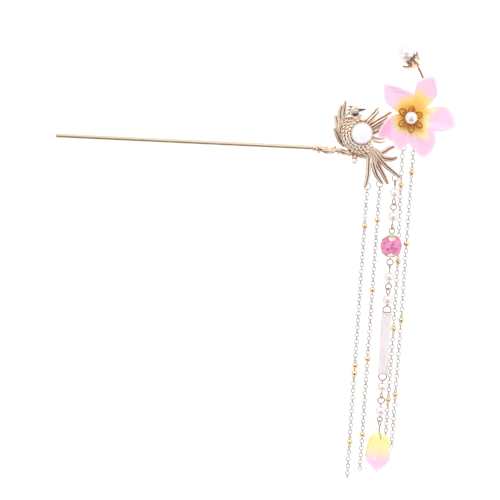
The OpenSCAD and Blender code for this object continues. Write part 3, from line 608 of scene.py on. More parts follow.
def addFeather(piece, path, halfWidths, thick, groove, tip, spacing=0.3, sides=20, rootDark=0.0):
    # a feather with two rolled edges and a groove between them painted dark with shade and patina, rounded
    # off at its tip
    form = featherForm
    marks = {"hollow": [], "along": [], "across": []}
    rings = []
    for centre, side, face, share, length in walk(path, spacing):
        end = math.sqrt(max(0.0, 1 - ((share - tip) / (1 - tip)) ** 2)) if share > tip else 1.0
        wide = valueAt(halfWidths, share) * max(end, form["tipWide"])
        deep = thick / 2 * (1 - form["tipThin"] + form["tipThin"] * end)
        ring, dark = [], []
        for s, f in circle(sides):
            dip = math.exp(-(s / form["grooveHalf"]) ** 2) if f > 0 else 0
            if f > 0:
                height = f ** form["edge"] * (1 - groove * dip)
            else:
                height = -abs(f) ** form["backEdge"] * form["backDeep"]
            ring.append(centre + side * (s * wide) + face * (height * deep))
            rim = max(0.0, (abs(s) - form["rimFrom"]) / (1 - form["rimFrom"]))
            root = max(0, 1 - share / form["rootLong"])
            # painted shade and patina in the groove, along the rims, on the back and at the root under the
            # neighbours
            dark.append(min(1.0, dip * min(1, groove * 2) + form["rimDark"] * rim ** form["rimSoft"]
                            + form["backDark"] * (f < -0.3) + rootDark * root))
        rings.append(ring)
        marks["hollow"].append(dark)
        marks["along"].append([length] * sides)
        marks["across"].append([s * wide for s, _ in circle(sides)])
    addRings(piece, rings, marks)


def addLathe(piece, profile, place, around=24, hollow=0.0):
    # profile of radius and height, turned about the Z axis of place
    rings = [[place @ Vector((r * c, r * s, h)) for c, s in circle(around)] for r, h in profile]
    addRings(piece, rings, {"hollow": [[hollow] * around] * len(profile)})


def addTorus(piece, centre, axis, radius, wire, around=28, sides=10, hollow=0.0):
    turn = Vector((0, 0, 1)).rotation_difference(Vector(axis)).to_matrix()
    up = turn @ Vector((0, 0, 1))
    rings = []
    for x, y in circle(around):
        out = turn @ Vector((x, y, 0))
        rings.append([Vector(centre) + out * (radius - wire * c) + up * (wire * s) for c, s in circle(sides)])
    addRings(piece, rings, {"hollow": [[hollow] * sides] * around}, closed=True)


def makeObject(name, piece, finish, replaced=(), place=None):
    mesh = bpy.data.meshes.new(name)
    points = [place @ p for p in piece["points"]] if place else piece["points"]
    mesh.from_pydata([tuple(p * mm) for p in points], [], piece["faces"])
    for mark, values in piece["marks"].items():
        attribute = mesh.attributes.new(mark, "FLOAT", "POINT")
        attribute.data.foreach_set("value", values)
    shape = bmesh.new()
    shape.from_mesh(mesh)
    bmesh.ops.recalc_face_normals(shape, faces=shape.faces)
    shape.to_mesh(mesh)
    shape.free()
    mesh.polygons.foreach_set("use_smooth", [True] * len(mesh.polygons))
    mesh.materials.append(finish)
    made = bpy.data.objects.new(name, mesh)
    bpy.context.scene.collection.objects.link(made)
    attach(made, "root")
    for node in replaced:
        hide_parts(node)
    print(name, len(mesh.polygons), "faces")
    return made


# Phoenix casting
opalBox = nodeBox("opal")
eyeBox = nodeBox("eye_stone")
opalRadius = (opalBox["high"].x - opalBox["low"].x) / 2
bird = {
    "bodyDeep": 4.4,
    "bodyRelief": 0.96,  # share of that depth where the shells lie, under the scales
    "leftWing": 15.0,  # reach of each wing from the opal's middle
    "rightWing": 15.0,
    "tailLong": 17.0,
    "tailCurl": 1.9,  # how far the fourth tail feather comes forward
    "headWide": 3.9,
    "eyeSunk": 0.12,  # how deep the eye stone's back lies in the head
    "tailRoot": (3.74, 0, -5.62),  # from the opal's middle
    "chest": (-3.4, 0.1, 3.4),
    "scaleDark": 0.9, "edgeDark": 0.12,  # painted shade between and under the scales, and a little on the smooth edge and the back
}
wingStart = Vector((opalBox["middle"].x, 0, opalBox["middle"].z))
tailRoot = wingStart + Vector(bird["tailRoot"])
chest = wingStart + Vector(bird["chest"])
headBack = bird["headWide"] / 2 - bird["eyeSunk"]
head = Vector((eyeBox["middle"].x, eyeBox["high"].y + headBack, eyeBox["middle"].z))

# degrees round the opal and radius of the body there
bodyOutline = [(-15, 4.9), (15, 4.9), (45, 4.9), (75, 4.9), (100, 5.2), (116, 6.6), (134, 8.0), (160, 8.6),
               (190, 8.8), (211, 8.8), (235, 8.4), (260, 8.0), (285, 7.8), (303, 6.9), (322, 5.4), (345, 4.9)]

# collar that the opal is set in: mm beyond its radius, mm from its flat back or None at the root, painted
# shade and patina
collarRoot = 0.2
collarRows = [(0.42, None, 0.9), (0.5, 0.2, 0.8), (0.42, -0.28, 0.25), (0.26, -0.42, 0.0), (0.12, -0.4, 0.0),
              (0.06, -0.3, 0.7), (0.06, None, 0.9)]

# half widths along the feather and thickness in mm, depth of the groove, share where the tip starts, painted
# shade at its root, where it lies under its neighbours
featherKinds = {
    "leftWing": {"halfWidths": (0.85, 1.05, 1.0, 0.62), "thick": 1.4, "groove": 0.5, "tip": 0.8},
    "quill": {"halfWidths": (0.5, 0.55, 0.3), "thick": 0.8, "groove": 0.3, "tip": 0.7, "rootDark": 0.3},
    "rightWing": {"halfWidths": (0.9, 0.92, 0.62), "thick": 1.35, "groove": 0.6, "tip": 0.84,
                  "rootDark": 0.5},
    "tail": {"halfWidths": (1.0, 1.02, 0.92, 0.58), "thick": 1.4, "groove": 0.62, "tip": 0.9},
    "fan": {"thick": 1.0, "groove": 0.25, "tip": 0.62},
    "wattle": {"halfWidths": (0.5, 0.42, 0.2), "thick": 0.8, "groove": 0.4, "tip": 0.7},
    "tuft": {"halfWidths": (0.5, 0.42, 0.2), "thick": 0.8, "groove": 0.5, "tip": 0.7},
    "neck": {"halfWidths": (0.45, 0.55, 0.45), "thick": 0.6, "groove": 0.35, "tip": 0.55, "rootDark": 0.4,
             "spacing": 0.25, "sides": 14},
    "scale": {"thick": 0.9, "groove": 0.0, "tip": 0.6, "spacing": 0.2, "sides": 16},
    "frontLeaf": {"halfWidths": (0.35, 0.75, 0.7, 0.2), "thick": 0.8, "groove": 0.3, "tip": 0.8},
    "smallLeaf": {"halfWidths": (0.7, 0.95, 0.3), "thick": 1.0, "groove": 0.4, "tip": 0.75, "rootDark": 0.6},
    "rootLeaf": {"halfWidths": (0.9, 1.2, 0.8), "thick": 1.2, "groove": 0.4, "tip": 0.75},
}


def eased(f):
    return 3 * f * f - 2 * f ** 3


def bodyReach(angle):
    angle = (angle + 15) % 360 - 15
    for (a0, r0), (a1, r1) in zip(bodyOutline, bodyOutline[1:]):
        if a0 <= angle <= a1:
            return r0 + (r1 - r0) * eased((angle - a0) / (a1 - a0))
    return bodyOutline[0][1]


def bodyFront(radius, angle):
    share = min(1.0, radius / bodyReach(angle))
    return -bird["bodyDeep"] / 2 * (1 - share ** 2) ** 0.5


def roundOpal(radius, angle, front):
    turn = math.radians(angle)
    return wingStart + Vector((radius * math.cos(turn), front, radius * math.sin(turn)))


def makeBody():
    piece = newPiece()
    around, rows = 96, 12
    angles = [360 * k / around for k in range(around)]
    for sign in (1, -1):  # front and back shells of the body
        rings = []
        for row in range(rows + 1):
            share = 0.02 + 0.98 * (1 - row / rows)
            ring = []
            for angle in angles:
                radius = bodyReach(angle) * share
                ring.append(roundOpal(radius, angle, sign * bodyFront(radius, angle) * bird["bodyRelief"]))
            rings.append(ring)
        # the front shell, which shows between the scales, is painted dark as the shadow under their edges;
        # the smooth edge and the back get only a little painted shade
        smooth = [sign < 0 or row < 2 for row in range(rows + 1)]
        shades = [bird["edgeDark"] if plain else bird["scaleDark"] for plain in smooth]
        addRings(piece, rings, {"hollow": [[shade] * around for shade in shades]})
    rings = []
    for beyond, fromBack, _ in collarRows:
        y = collarRoot if fromBack is None else opalBox["high"].y + fromBack
        rings.append([roundOpal(opalRadius + beyond, angle, y) for angle in angles])
    addRings(piece, rings, {"hollow": [[dark] * around for _, _, dark in collarRows]})
    return piece


scales = {
    # radius of the row, first and last angle; the rows lie like ropes round the opal
    "rows": [(5.35, 96, 330), (6.5, 104, 312), (7.7, 118, 292)],
    "step": 1.7,  # mm from scale to scale along a row
    "long": 2.4,
    "half": 0.5,
    "form": (0.6, 1, 1, 0.7),  # half widths along a scale, as shares of the one above
    "splay": 27,  # degrees that each scale turns outward from its row
    "crown": ((-0.5, 0.1), (-0.2, 0.5), (0.2, 0.62), (0.5, 0.35)),  # share of its length, mm over the body
    "sink": 0.9,  # share of the body's depth that the scales start from
    "unevenTurn": 4,  # degrees
    "unevenWidth": (0.94, 1.08),
}


def addScales(piece):
    for radius, first, last in scales["rows"]:
        count = max(2, round(math.radians(last - first) * radius / scales["step"]))
        for k in range(count + 1):
            angle = first + (last - first) * k / count
            uneven = random.uniform(-scales["unevenTurn"], scales["unevenTurn"])
            turn = math.radians(angle + 90 - scales["splay"] + uneven)
            path = []
            for share, rise in scales["crown"]:
                way = Vector((math.cos(turn), 0, math.sin(turn))) * (scales["long"] * share)
                spot = roundOpal(radius, angle, 0) + way
                offset = spot - wingStart
                r, a = math.hypot(offset.x, offset.z), math.degrees(math.atan2(offset.z, offset.x))
                spot.y = bodyFront(min(r, bodyReach(a)), a) * scales["sink"] - rise
                path.append(spot)
            half = scales["half"] * random.uniform(*scales["unevenWidth"])
            addFeather(piece, path, [half * share for share in scales["form"]], **featherKinds["scale"])


# feathers as shares of a reach, x and z from their start
leftFeathers = [
    [(-0.34, -0.23), (-0.48, 0.08), (-0.50, 0.43), (-0.46, 0.86)],
    [(-0.39, -0.34), (-0.56, 0.11), (-0.59, 0.45), (-0.56, 0.73)],
    [(-0.42, -0.29), (-0.57, 0.02), (-0.66, 0.26), (-0.71, 0.44)],
    [(-0.40, -0.37), (-0.54, -0.23), (-0.64, -0.06), (-0.73, 0.10)],
]
# short quills between the long ones: where each starts and ends
leftQuills = [((-0.45, 0.16), (-0.53, 0.52)), ((-0.52, 0.1), (-0.63, 0.42)), ((-0.50, -0.12), (-0.66, 0.16))]
rightFeathers = [
    [(0.07, 0.27), (0.24, 0.45), (0.44, 0.71)],
    [(0.13, 0.23), (0.28, 0.40), (0.46, 0.60)],
    [(0.21, 0.20), (0.50, 0.40), (0.81, 0.60)],
    [(0.25, 0.14), (0.51, 0.31), (0.71, 0.45)],
    [(0.27, 0.08), (0.47, 0.20), (0.62, 0.30)],
    [(0.30, 0.01), (0.50, 0.08), (0.62, 0.15)],
]
rightCurls = [
    [(0.28, -0.07), (0.42, -0.12), (0.56, -0.14), (0.71, -0.11)],
    [(0.26, -0.14), (0.43, -0.21), (0.59, -0.23), (0.73, -0.17)],
]
curlRadii = (0.62, 0.52, 0.42, 0.22)
tailFeathers = [
    [(0.01, 0.00), (0.02, -0.37), (0.03, -0.63), (0.01, -0.80), (-0.02, -0.96)],
    [(0.04, -0.02), (0.15, -0.44), (0.23, -0.64), (0.31, -0.75), (0.39, -0.85)],
    [(0.07, -0.05), (0.28, -0.44), (0.41, -0.65), (0.53, -0.86)],
    [(0.09, -0.05), (0.40, -0.38), (0.59, -0.53), (0.80, -0.68)],
    [(0.09, -0.05), (0.35, -0.23), (0.51, -0.26), (0.62, -0.25), (0.71, -0.20)],
    [(0.06, -0.02), (0.26, -0.13), (0.38, -0.09), (0.50, -0.01), (0.63, 0.05)],
]
# broad quills of the fan, over the feathers' roots: start, end, half width in mm
fanQuills = [
    ((0.03, -0.02), (0.12, -0.40), 0.85), ((0.05, -0.02), (0.22, -0.42), 0.9),
    ((0.07, -0.02), (0.34, -0.36), 0.95), ((0.08, -0.01), (0.36, -0.20), 0.85),
]


# y of the feathers in the casting, whose mid plane is 0: at their roots and tips, and the step from one to
# the next
depths = {
    "left": -0.5, "leftStep": 0.25, "right": -0.35, "wingTips": 0.2, "leftQuill": (-0.75, -0.1),
    "curlStep": -0.5, "tail": -0.15, "fan": (-0.45, -0.2),
}


def featherPath(shares, start, reach, y0=0.0, y1=0.0):
    last = len(shares) - 1
    return [start + Vector((x * reach, y0 + (y1 - y0) * i / last, z * reach))
            for i, (x, z) in enumerate(shares)]


def bentQuill(first, last, bend):
    # start, a middle moved by bend, and end
    return [first, tuple((a + b) / 2 + c for a, b, c in zip(first, last, bend)), last]


def makeWings():
    piece = newPiece()
    for i, shares in enumerate(leftFeathers):
        root = depths["left"] + depths["leftStep"] * i
        path = featherPath(shares, wingStart, bird["leftWing"], root, depths["wingTips"])
        addFeather(piece, path, **featherKinds["leftWing"])
    for first, last in leftQuills:
        quill = bentQuill(first, last, (-0.02, 0))
        path = featherPath(quill, wingStart, bird["leftWing"], *depths["leftQuill"])
        addFeather(piece, path, **featherKinds["quill"])
    for i, shares in enumerate(rightFeathers):
        root = depths["right"] * (i % 2)
        path = featherPath(shares, wingStart, bird["rightWing"], root, depths["wingTips"])
        addFeather(piece, path, **featherKinds["rightWing"])
    for i, shares in enumerate(rightCurls):
        path = featherPath(shares, wingStart, bird["rightWing"], depths["curlStep"] * i)
        addWire(piece, path, curlRadii, sides=12)
    return piece


def makeTail():
    piece = newPiece()
    for i, shares in enumerate(tailFeathers):
        forward = -bird["tailCurl"] if i == 3 else 0.0
        path = featherPath(shares, tailRoot, bird["tailLong"], depths["tail"] * (i % 2), forward)
        addFeather(piece, path, **featherKinds["tail"])
    for first, last, wide in fanQuills:
        quill = bentQuill(first, last, (0.015, 0.01))
        path = featherPath(quill, tailRoot, bird["tailLong"], *depths["fan"])
        addFeather(piece, path, (wide * 0.7, wide, 0.4), **featherKinds["fan"])
    return piece


headParts = {
    # points from the head's middle
    "beak": [(0.9, -0.7, 0.25), (2.4, -0.5, 0.4), (3.7, -0.4, 0.62), (4.6, -0.3, 0.92)],
    "beakRadii": (0.85, 0.6, 0.4, 0.16),
    "wattle": [(0.9, -0.4, -0.8), (2.2, -0.4, -1.5), (3.4, -0.3, -2.2)],
    "tufts": [
        [(-0.6, 0, 0.6), (-2.2, 0.2, 0.3), (-4.0, 0.2, -0.3)],
        [(-0.8, 0, -0.1), (-2.0, 0.2, -0.9), (-3.2, 0.2, -2.2)],
        [(-0.2, -0.2, 1.2), (-1.6, 0, 1.5), (-2.9, 0.1, 1.5)],
    ],
    "collar": [(-3.1, 0.1, -3.2), (-2.4, -1.1, -2.5), (-0.6, -1.6, -2.5), (1.0, -1.2, -2.9)],
    "collarRadii": (0.35, 0.6, 0.6, 0.3),
    # fold under the eye, painted fully dark as shade, points from just before the eye stone's back
    "underEye": [(-1.1, 0, -1.0), (-0.3, 0.05, -1.55), (0.6, 0.05, -1.4), (1.3, 0, -0.8)],
    "underEyeRadii": (0.2, 0.42, 0.42, 0.15),
    "eyeRing": 1.2, "eyeRingWire": 0.2,
    "fullness": (1.0, 0.86, 0.98),  # of the head's ball
}
neck = {
    "radii": (1.55, 1.65, 2.0, 2.2, 0.5), "bend": (-0.2, 0, 0.2), "end": (0.3, 0.5, -0.5),
    # small feathers down its front
    "rows": 5, "firstRow": 0.24, "rowStep": 0.17,  # shares of the way from head to chest
    "across": 4, "pitch": 0.95, "stagger": 0.4, "half": 2.5, "deep": 1.25, "stand": 0.25,
}


def makeHead():
    piece = newPiece()
    eyeX, eyeZ, eyeBack = eyeBox["middle"].x, eyeBox["middle"].z, eyeBox["high"].y
    addBall(piece, head + Vector((0.1, 0.1, 0)), bird["headWide"] / 2, headParts["fullness"], rows=16,
            around=28, hollow=0.1)
    addTorus(piece, (eyeX, eyeBack - 0.1, eyeZ), (0, 1, 0), headParts["eyeRing"], headParts["eyeRingWire"],
             hollow=0.05)
    addWire(piece, pointsFrom(head, headParts["beak"]), headParts["beakRadii"], spacing=0.25, hollow=0.75,
            flat=0.8)
    addFeather(piece, pointsFrom(head, headParts["wattle"]), **featherKinds["wattle"])
    for tuft in headParts["tufts"]:
        addFeather(piece, pointsFrom(head, tuft), **featherKinds["tuft"])
    # painted shade in the fold under the eye stone
    addWire(piece, pointsFrom(Vector((eyeX, eyeBack - 0.3, eyeZ)), headParts["underEye"]),
            headParts["underEyeRadii"], spacing=0.2, hollow=1.0)
    # rolled collar between head and neck
    addWire(piece, pointsFrom(head, headParts["collar"]), headParts["collarRadii"], spacing=0.25, sides=14)
    addWire(piece, [head, (head + chest) / 2 + Vector(neck["bend"]), chest, chest + Vector(neck["end"])],
            neck["radii"], spacing=0.3, sides=24, hollow=0.5, flat=0.85)
    for row in range(neck["rows"]):
        spot = head.lerp(chest, neck["firstRow"] + neck["rowStep"] * row)
        for k in range(neck["across"]):
            off = (k - (neck["across"] - 1) / 2) * neck["pitch"] + neck["stagger"] * (row % 2)
            front = -neck["deep"] * math.sqrt(max(0.05, 1 - (off / neck["half"]) ** 2)) - neck["stand"]
            path = pointsFrom(spot, [(off, front + 0.15, 0.8), (off * 1.05, front - 0.2, -0.1),
                                     (off * 1.1, front, -1.2)])
            addFeather(piece, path, **featherKinds["neck"])
    return piece


branch = {
    # along the branch: distance from the socket, height, radius
    "line": [(0.0, 0.0, 1.2), (1.5, -0.05, 1.25), (3.4, -0.15, 1.05), (5.6, -0.55, 1.25), (8.0, -0.55, 1.2),
             (9.8, -0.42, 0.85), (12.0, -0.9, 0.95), (14.8, -1.28, 0.92), (18.4, -1.35, 0.98),
             (22.3, -0.7, 1.05)],
    # knobs of the bark: x, z, radius
    "knobs": [(2.5, -1.65, 0.58), (8.9, 0.95, 0.5), (10.5, -1.65, 0.6), (12.2, -1.95, 0.5),
              (13.1, -2.05, 0.52), (13.9, -2.1, 0.45), (15.0, -2.3, 0.52), (16.0, -2.2, 0.42),
              (9.6, -0.2, 0.75), (11.2, 0.15, 0.5)],
    "knobFront": -0.35,
    "twist": 0.35,  # radians for each mm along it
    "broad": 0.1, "ridge": 0.07, "rough": 0.08,  # heights of the bark as shares of the radius
    "smoothMouth": 2,  # mm from the socket's mouth to the full bark
    # painted shade on the branch's lower side, and painted shade and patina in the bark's grooves
    "underFrom": 0.35, "lowerSideShade": 1.3, "grooveFrom": 0.1, "grooveDark": 0.5,
    # collar at the socket's mouth: radius, distance along
    "mouth": [(0.95, 0.0), (1.28, 0.0), (1.42, 0.25), (1.36, 0.6), (1.45, 0.95), (1.3, 1.3), (1.1, 1.5)],
    "frontLeaf": [(3.2, -0.6, -0.9), (5.4, -1.1, -1.25), (7.6, -1.0, -0.85), (9.6, -0.6, 0.1)],
    # leaves at the tail's root, x as a share of the way to it
    "smallLeaf": [(0.78, 0.0, -1.7), (0.88, -0.1, -2.3), (1.03, 0.3, -3.2)],
    "rootLeaf": [(0.8, -0.2, -0.6), (0.92, -0.4, -1.2), (1.02, -0.2, -2.2)],
    # cap that carries the small pearl: radius, height over the pearl's top
    "pearlCap": [(0.6, 0.06), (0.95, -0.18), (1.12, -0.22), (1.2, 0.0), (1.18, 0.3), (0.95, 0.6), (0.78, 0.9),
                 (0.7, 1.6)],
}


def makeBranch():
    piece = newPiece()
    rings, dark = [], []
    line = [(x, 0, z) for x, z, _ in branch["line"]]
    radii = [radius for _, _, radius in branch["line"]]
    sides = 28
    for centre, side, face, share, length in walk(line, 0.3):
        radius = valueAt(radii, share)
        grown = min(1, length / branch["smoothMouth"])
        ring, row = [], []
        for k, (c, s) in enumerate(circle(sides)):
            twist = 2 * math.pi * k / sides - length * branch["twist"]
            ridge = math.cos(5 * twist + 1)
            bark = (branch["broad"] * math.cos(2 * twist) + branch["ridge"] * ridge
                    + branch["rough"] * noise.noise(Vector((length * 0.5, c, s))))
            r = radius * (1 + bark * grown)
            ring.append(centre + side * (r * c) + face * (r * s))
            lowerShade = branch["lowerSideShade"] * max(0.0, -c - branch["underFrom"])  # painted shade on the lower side
            # painted shade and patina in the bark's grooves
            groove = max(0.0, -branch["grooveDark"] * ridge - branch["grooveFrom"]) * grown
            row.append(min(1.0, groove + lowerShade))
        rings.append(ring)
        dark.append(row)
    addRings(piece, rings, {"hollow": dark})
    addLathe(piece, branch["mouth"], Matrix.Rotation(math.pi / 2, 4, "Y"), 32)
    for x, z, radius in branch["knobs"]:
        addBall(piece, (x, branch["knobFront"], z), radius, (1, 1, 0.92), rows=8, around=12, hollow=0.1)
    addFeather(piece, branch["frontLeaf"], **featherKinds["frontLeaf"])
    for leaf in ("smallLeaf", "rootLeaf"):
        addFeather(piece, [(tailRoot.x * x, y, z) for x, y, z in branch[leaf]], **featherKinds[leaf])
    pearlBox = nodeBox("branch_pearl")
    cap = Matrix.Translation((pearlBox["middle"].x, pearlBox["middle"].y, pearlBox["high"].z))
    addLathe(piece, branch["pearlCap"], cap, 24, hollow=0.35)
    return piece


# Flower's own frame, and the calyx above it
flowerSeat = {"x": 38.1, "z": 13.9, "back": 4.0, "turn": 10, "tilt": 8}
flowerPlace = (Matrix.Translation((flowerSeat["x"], -flowerSeat["back"], flowerSeat["z"]))
               @ Matrix.Rotation(math.radians(-flowerSeat["turn"]), 4, "Z")
               @ Matrix.Rotation(math.radians(90 - flowerSeat["tilt"]), 4, "X"))
flowerMid = flowerPlace.translation.copy()
flowerFront = (flowerPlace.to_3x3() @ Vector((0, 0, 1))).normalized()
# x and z from the flower's middle, mm before the stick's axis, degrees of the bud's axis from +X towards +Z
calyxSeat = {"x": 2.2, "z": 21.2, "front": 0.4, "angle": 139}
calyxAt = flowerMid + Vector((calyxSeat["x"], flowerSeat["back"] - calyxSeat["front"], calyxSeat["z"]))
calyxPlace = Matrix.Translation(calyxAt) @ Matrix.Rotation(math.radians(90 - calyxSeat["angle"]), 4, "Y")

ringHang = {"wire": 0.36, "gap": 0.05}  # wire of the jump rings, and the gap between linked wires
wires = {
    # arm behind the flower: two points from the opal's middle, one in the frame
    "armStart": [(2.9, 0.9, 0.8), (7.9, 1.2, 1.7)], "armEnd": (33.1, 0.4, 11.3), "armRadius": 0.72,
    "hubBack": 0.53,  # mm behind the flower's seat
    # bud's stem and the fork behind the flower, from the flower's middle
    "stem": [(2.6, 2.2, 8.0), (5.2, 3.3, 14.0), (4.8, 3.5, 16.4)], "stemRadius": 0.41,
    "forkBend": (0.5, 3.4, -3.6), "fork": (0.6, 5.2, -7.0), "forkRadii": (0.56, 0.5),
    "twigRadii": (0.42, 0.3),
    "eye": 0.6, "eyeWire": 0.21, "eyeRoom": 0.22,  # small eyes that the jump rings hang in
    # plate behind the flower: radius, height; it starts this far behind the flower's seat
    "plate": [(0.3, 0.0), (2.3, 0.0), (2.75, 0.2), (3.0, 0.5), (3.0, 0.88), (0.3, 0.88)], "plateBack": 0.98,
    # posts that the flower's and the bud's pearls stand on
    "flowerPost": [(0.44, 0.4), (0.44, 4.9)], "budPost": [(0.44, 2.4), (0.44, 6.2)],
}
calyx = {
    "cup": [(0.35, -1.1), (0.8, -0.8), (1.1, -0.2), (1.15, 0.6), (1.0, 1.5), (1.25, 2.4), (1.5, 2.95),
            (1.2, 2.98), (0.3, 2.4)],
    "sepals": 8,  # four long ones and four short ones between them
    "flare": [3.65, 3.9, 4.4, 3.9],  # reach of each long one; the lower one stands off the pearl
    "short": [(0.5, 0, 0.0), (1.7, 0, 1.0), (2.6, 0, 2.4), (3.0, 0, 4.4)],
    "halfWidths": (0.8, 1.7, 2.15, 1.6, 0.15), "thick": 0.26,
    "curl": 0.62,  # how far its sides curl in towards the pearl, as a share of the half width
    "sides": 20,
    # painted shade and patina down each sepal's midrib, along its edges and towards its tip
    "midrib": 0.2, "midribDark": 0.75, "edgeDark": 0.5, "tipDark": 0.7,
}


def addSepal(piece, path, out):
    rings, dark = [], []
    for centre, side, face, share, _ in walk(path, 0.25, front=out):
        wide = valueAt(calyx["halfWidths"], share)
        ring, row = [], []
        for s, f in circle(calyx["sides"]):
            cup = calyx["curl"] * wide * s * s
            ring.append(centre + side * (s * wide) + face * (calyx["thick"] * f * (1 - 0.3 * abs(s)) - cup))
            # painted shade and patina on the midrib, edges and tip
            row.append(min(1.0, calyx["midribDark"] * math.exp(-(s / calyx["midrib"]) ** 2) * (f > 0)
                           + calyx["edgeDark"] * (abs(s) > 0.9) + calyx["tipDark"] * max(0, share - 0.8) * 5))
        rings.append(ring)
        dark.append(row)
    addRings(piece, rings, {"hollow": dark})


def makeSolderedWires():
    piece = newPiece()
    hub = flowerMid - flowerFront * wires["hubBack"]
    arm = pointsFrom(wingStart, wires["armStart"]) + [Vector(wires["armEnd"]), hub]
    addWire(piece, arm, wires["armRadius"], sides=14, hollow=0.1)
    plate = flowerPlace @ Matrix.Translation((0, 0, -wires["plateBack"]))
    addLathe(piece, wires["plate"], plate, 36)
    addLathe(piece, wires["flowerPost"], plate, 12)
    addWire(piece, [hub] + pointsFrom(flowerMid, wires["stem"]) + [calyxAt], wires["stemRadius"], sides=12,
            hollow=0.5)
    bend, fork = pointsFrom(flowerMid, [wires["forkBend"], wires["fork"]])
    addWire(piece, [hub, bend, fork], wires["forkRadii"], sides=12)
    eye = wires["eye"]
    for name in ("ring_1", "ring_2", "ring_3", "ring_4", "ring_5"):
        box = nodeBox(name)
        eyeAt = box["middle"].copy()
        eyeAt.z = box["high"].z - ringHang["wire"] - ringHang["gap"] - wires["eyeRoom"] + eye
        addTorus(piece, eyeAt, (1, 0, 0), eye, wires["eyeWire"], around=24, sides=10)
        if name in ("ring_4", "ring_5"):  # these two hang from the fork behind the flower
            twig = [fork, fork.lerp(eyeAt, 0.5) + Vector((0, 0.2, 0)), eyeAt + Vector((0, 0, eye))]
            addWire(piece, twig, wires["twigRadii"], sides=10)
    addLathe(piece, calyx["cup"], calyxPlace, 24, hollow=0.15)
    addLathe(piece, wires["budPost"], calyxPlace, 12)
    for k in range(calyx["sepals"]):
        turn = calyxPlace @ Matrix.Rotation(2 * math.pi * k / calyx["sepals"], 4, "Z")
        if k % 2 == 0:
            flare = calyx["flare"][k // 2]
            shape = [(0.5, 0, -0.2), (2.0, 0, 0.4), (flare - 0.7, 0, 1.8), (flare, 0, 4.1)]
        else:
            shape = calyx["short"]
        out = (turn.to_3x3() @ Vector((1, 0, -0.4))).normalized()
        addSepal(piece, [turn @ Vector(p) for p in shape], out)
    return piece


body = makeBody()
addScales(body)
castingPieces = {
    "phoenixBody": body, "phoenixWings": makeWings(), "phoenixTail": makeTail(), "phoenixHead": makeHead(),
    "branch": makeBranch(), "stemsAndCalyx": makeSolderedWires(),
}
for name, piece in castingPieces.items():
    makeObject(name, piece, finishes["casting"], ["phoenix_casting"])
print("phoenix casting made")


# Flower
petalColumns = ("notch", "notchOut", "first", "firstOut", "tip", "tipOut", "last", "lastOut", "swell",
                "lilac", "fold")
petals = {
    "long": 20.0,
    "thick": 1.0, "edgeThin": 0.55, "edgeRound": 0.07,  # thinner to the edge, which is rounded off
    "rise": 2.2, "riseTip": 0.55, "riseSide": 0.75,
    "hole": 0.55,
    "seat": 0.7,  # height of the petals where they lie flat
    "flat": 3.3,  # radius of that
    "wave": 0.5, "waveStep": 0.22,
    "dip": 0.22, "dipWide": 1.6,  # shallow channel down the middle of a petal
    "along": 60, "outward": 34,  # points round each petal's edge and from the middle out
    # angles in degrees and radii as shares: notch before it, first shoulder, tip, last shoulder; then swell
    # of its edge, lilac tint, and pink of its fold
    "shapes": {
        "upperRight": (37, 0.37, 44, 0.70, 65, 0.98, 84, 0.73, 0.015, 0.25, 0.0),
        "upperLeft": (86, 0.50, 108, 0.61, 131, 0.89, 150, 0.63, -0.01, 0.7, 0.0),
        "folded": (159, 0.24, 187, 0.48, 213, 0.77, 224, 0.63, -0.01, 0.3, 0.9),
        "narrow": (235, 0.60, 246, 0.64, 257, 0.70, 262, 0.58, 0.0, 0.2, 0.1),
        "lowerRight": (268, 0.51, 281, 0.66, 291, 0.84, 322, 0.68, 0.025, 0.3, 0.15),
        "right": (334, 0.54, 343, 0.75, 354, 0.92, 382, 0.74, 0.025, 0.85, 0.0),
    },
    # folds beside the upper edge of the upper left petal, and the rolled rim of the upper right one
    "creases": (0.80, 0.9), "creaseHalf": 0.022, "creaseSway": 0.02, "creaseHigh": 0.14,
    "rolledRim": 0.9, "rolledHalf": 0.02,
    # the folded petal's hinge: a line at this x, leaning, between two heights; its flap starts beyond it
    "hinge": -7.7, "hingeLean": 0.12, "hingeHalf": 0.3, "hingeHigh": 0.3, "hingeSpan": (-9, 2.5),
    "flap": -7.9, "flapSoft": 0.7,
    "blushAt": 13, "blushHalf": 6,  # radius where the other petals are pinkest
    "rimFrom": 0.9, "rimSoft": 0.07, "rimShows": 0.8,
    "heartFull": 1.55, "heartFade": 1.1,
    "veinStep": 0.12,  # mm of the vein pattern for each degree round the flower
}
# a petal's edge runs from its notch at 0 over its shoulders at 1 and 11 to the next notch at 12, tip at 6
notchAt, firstAt, tipAt, lastAt, nextAt = 0, 1, 6, 11, 12


def edgeOf(shape, nextRadius, t):
    stretches = [(notchAt, firstAt, shape["notchOut"], shape["firstOut"], 0.0),
                 (firstAt, tipAt, shape["firstOut"], shape["tipOut"], shape["swell"]),
                 (tipAt, lastAt, shape["tipOut"], shape["lastOut"], shape["swell"]),
                 (lastAt, nextAt, shape["lastOut"], nextRadius, 0.0)]
    for t0, t1, r0, r1, swell in stretches:
        if t <= t1:
            way = (t - t0) / (t1 - t0)
            return petals["long"] * (r0 + (r1 - r0) * way + swell * math.sin(math.pi * way))
    return petals["long"] * nextRadius


def angleOf(shape, nextAngle, t):
    stops = [(notchAt, shape["notch"]), (firstAt, shape["first"]), (tipAt, shape["tip"]),
             (lastAt, shape["last"]), (nextAt, nextAngle)]
    for (t0, a0), (t1, a1) in zip(stops, stops[1:]):
        if t <= t1:
            return a0 + (a1 - a0) * (t - t0) / (t1 - t0)
    return nextAngle


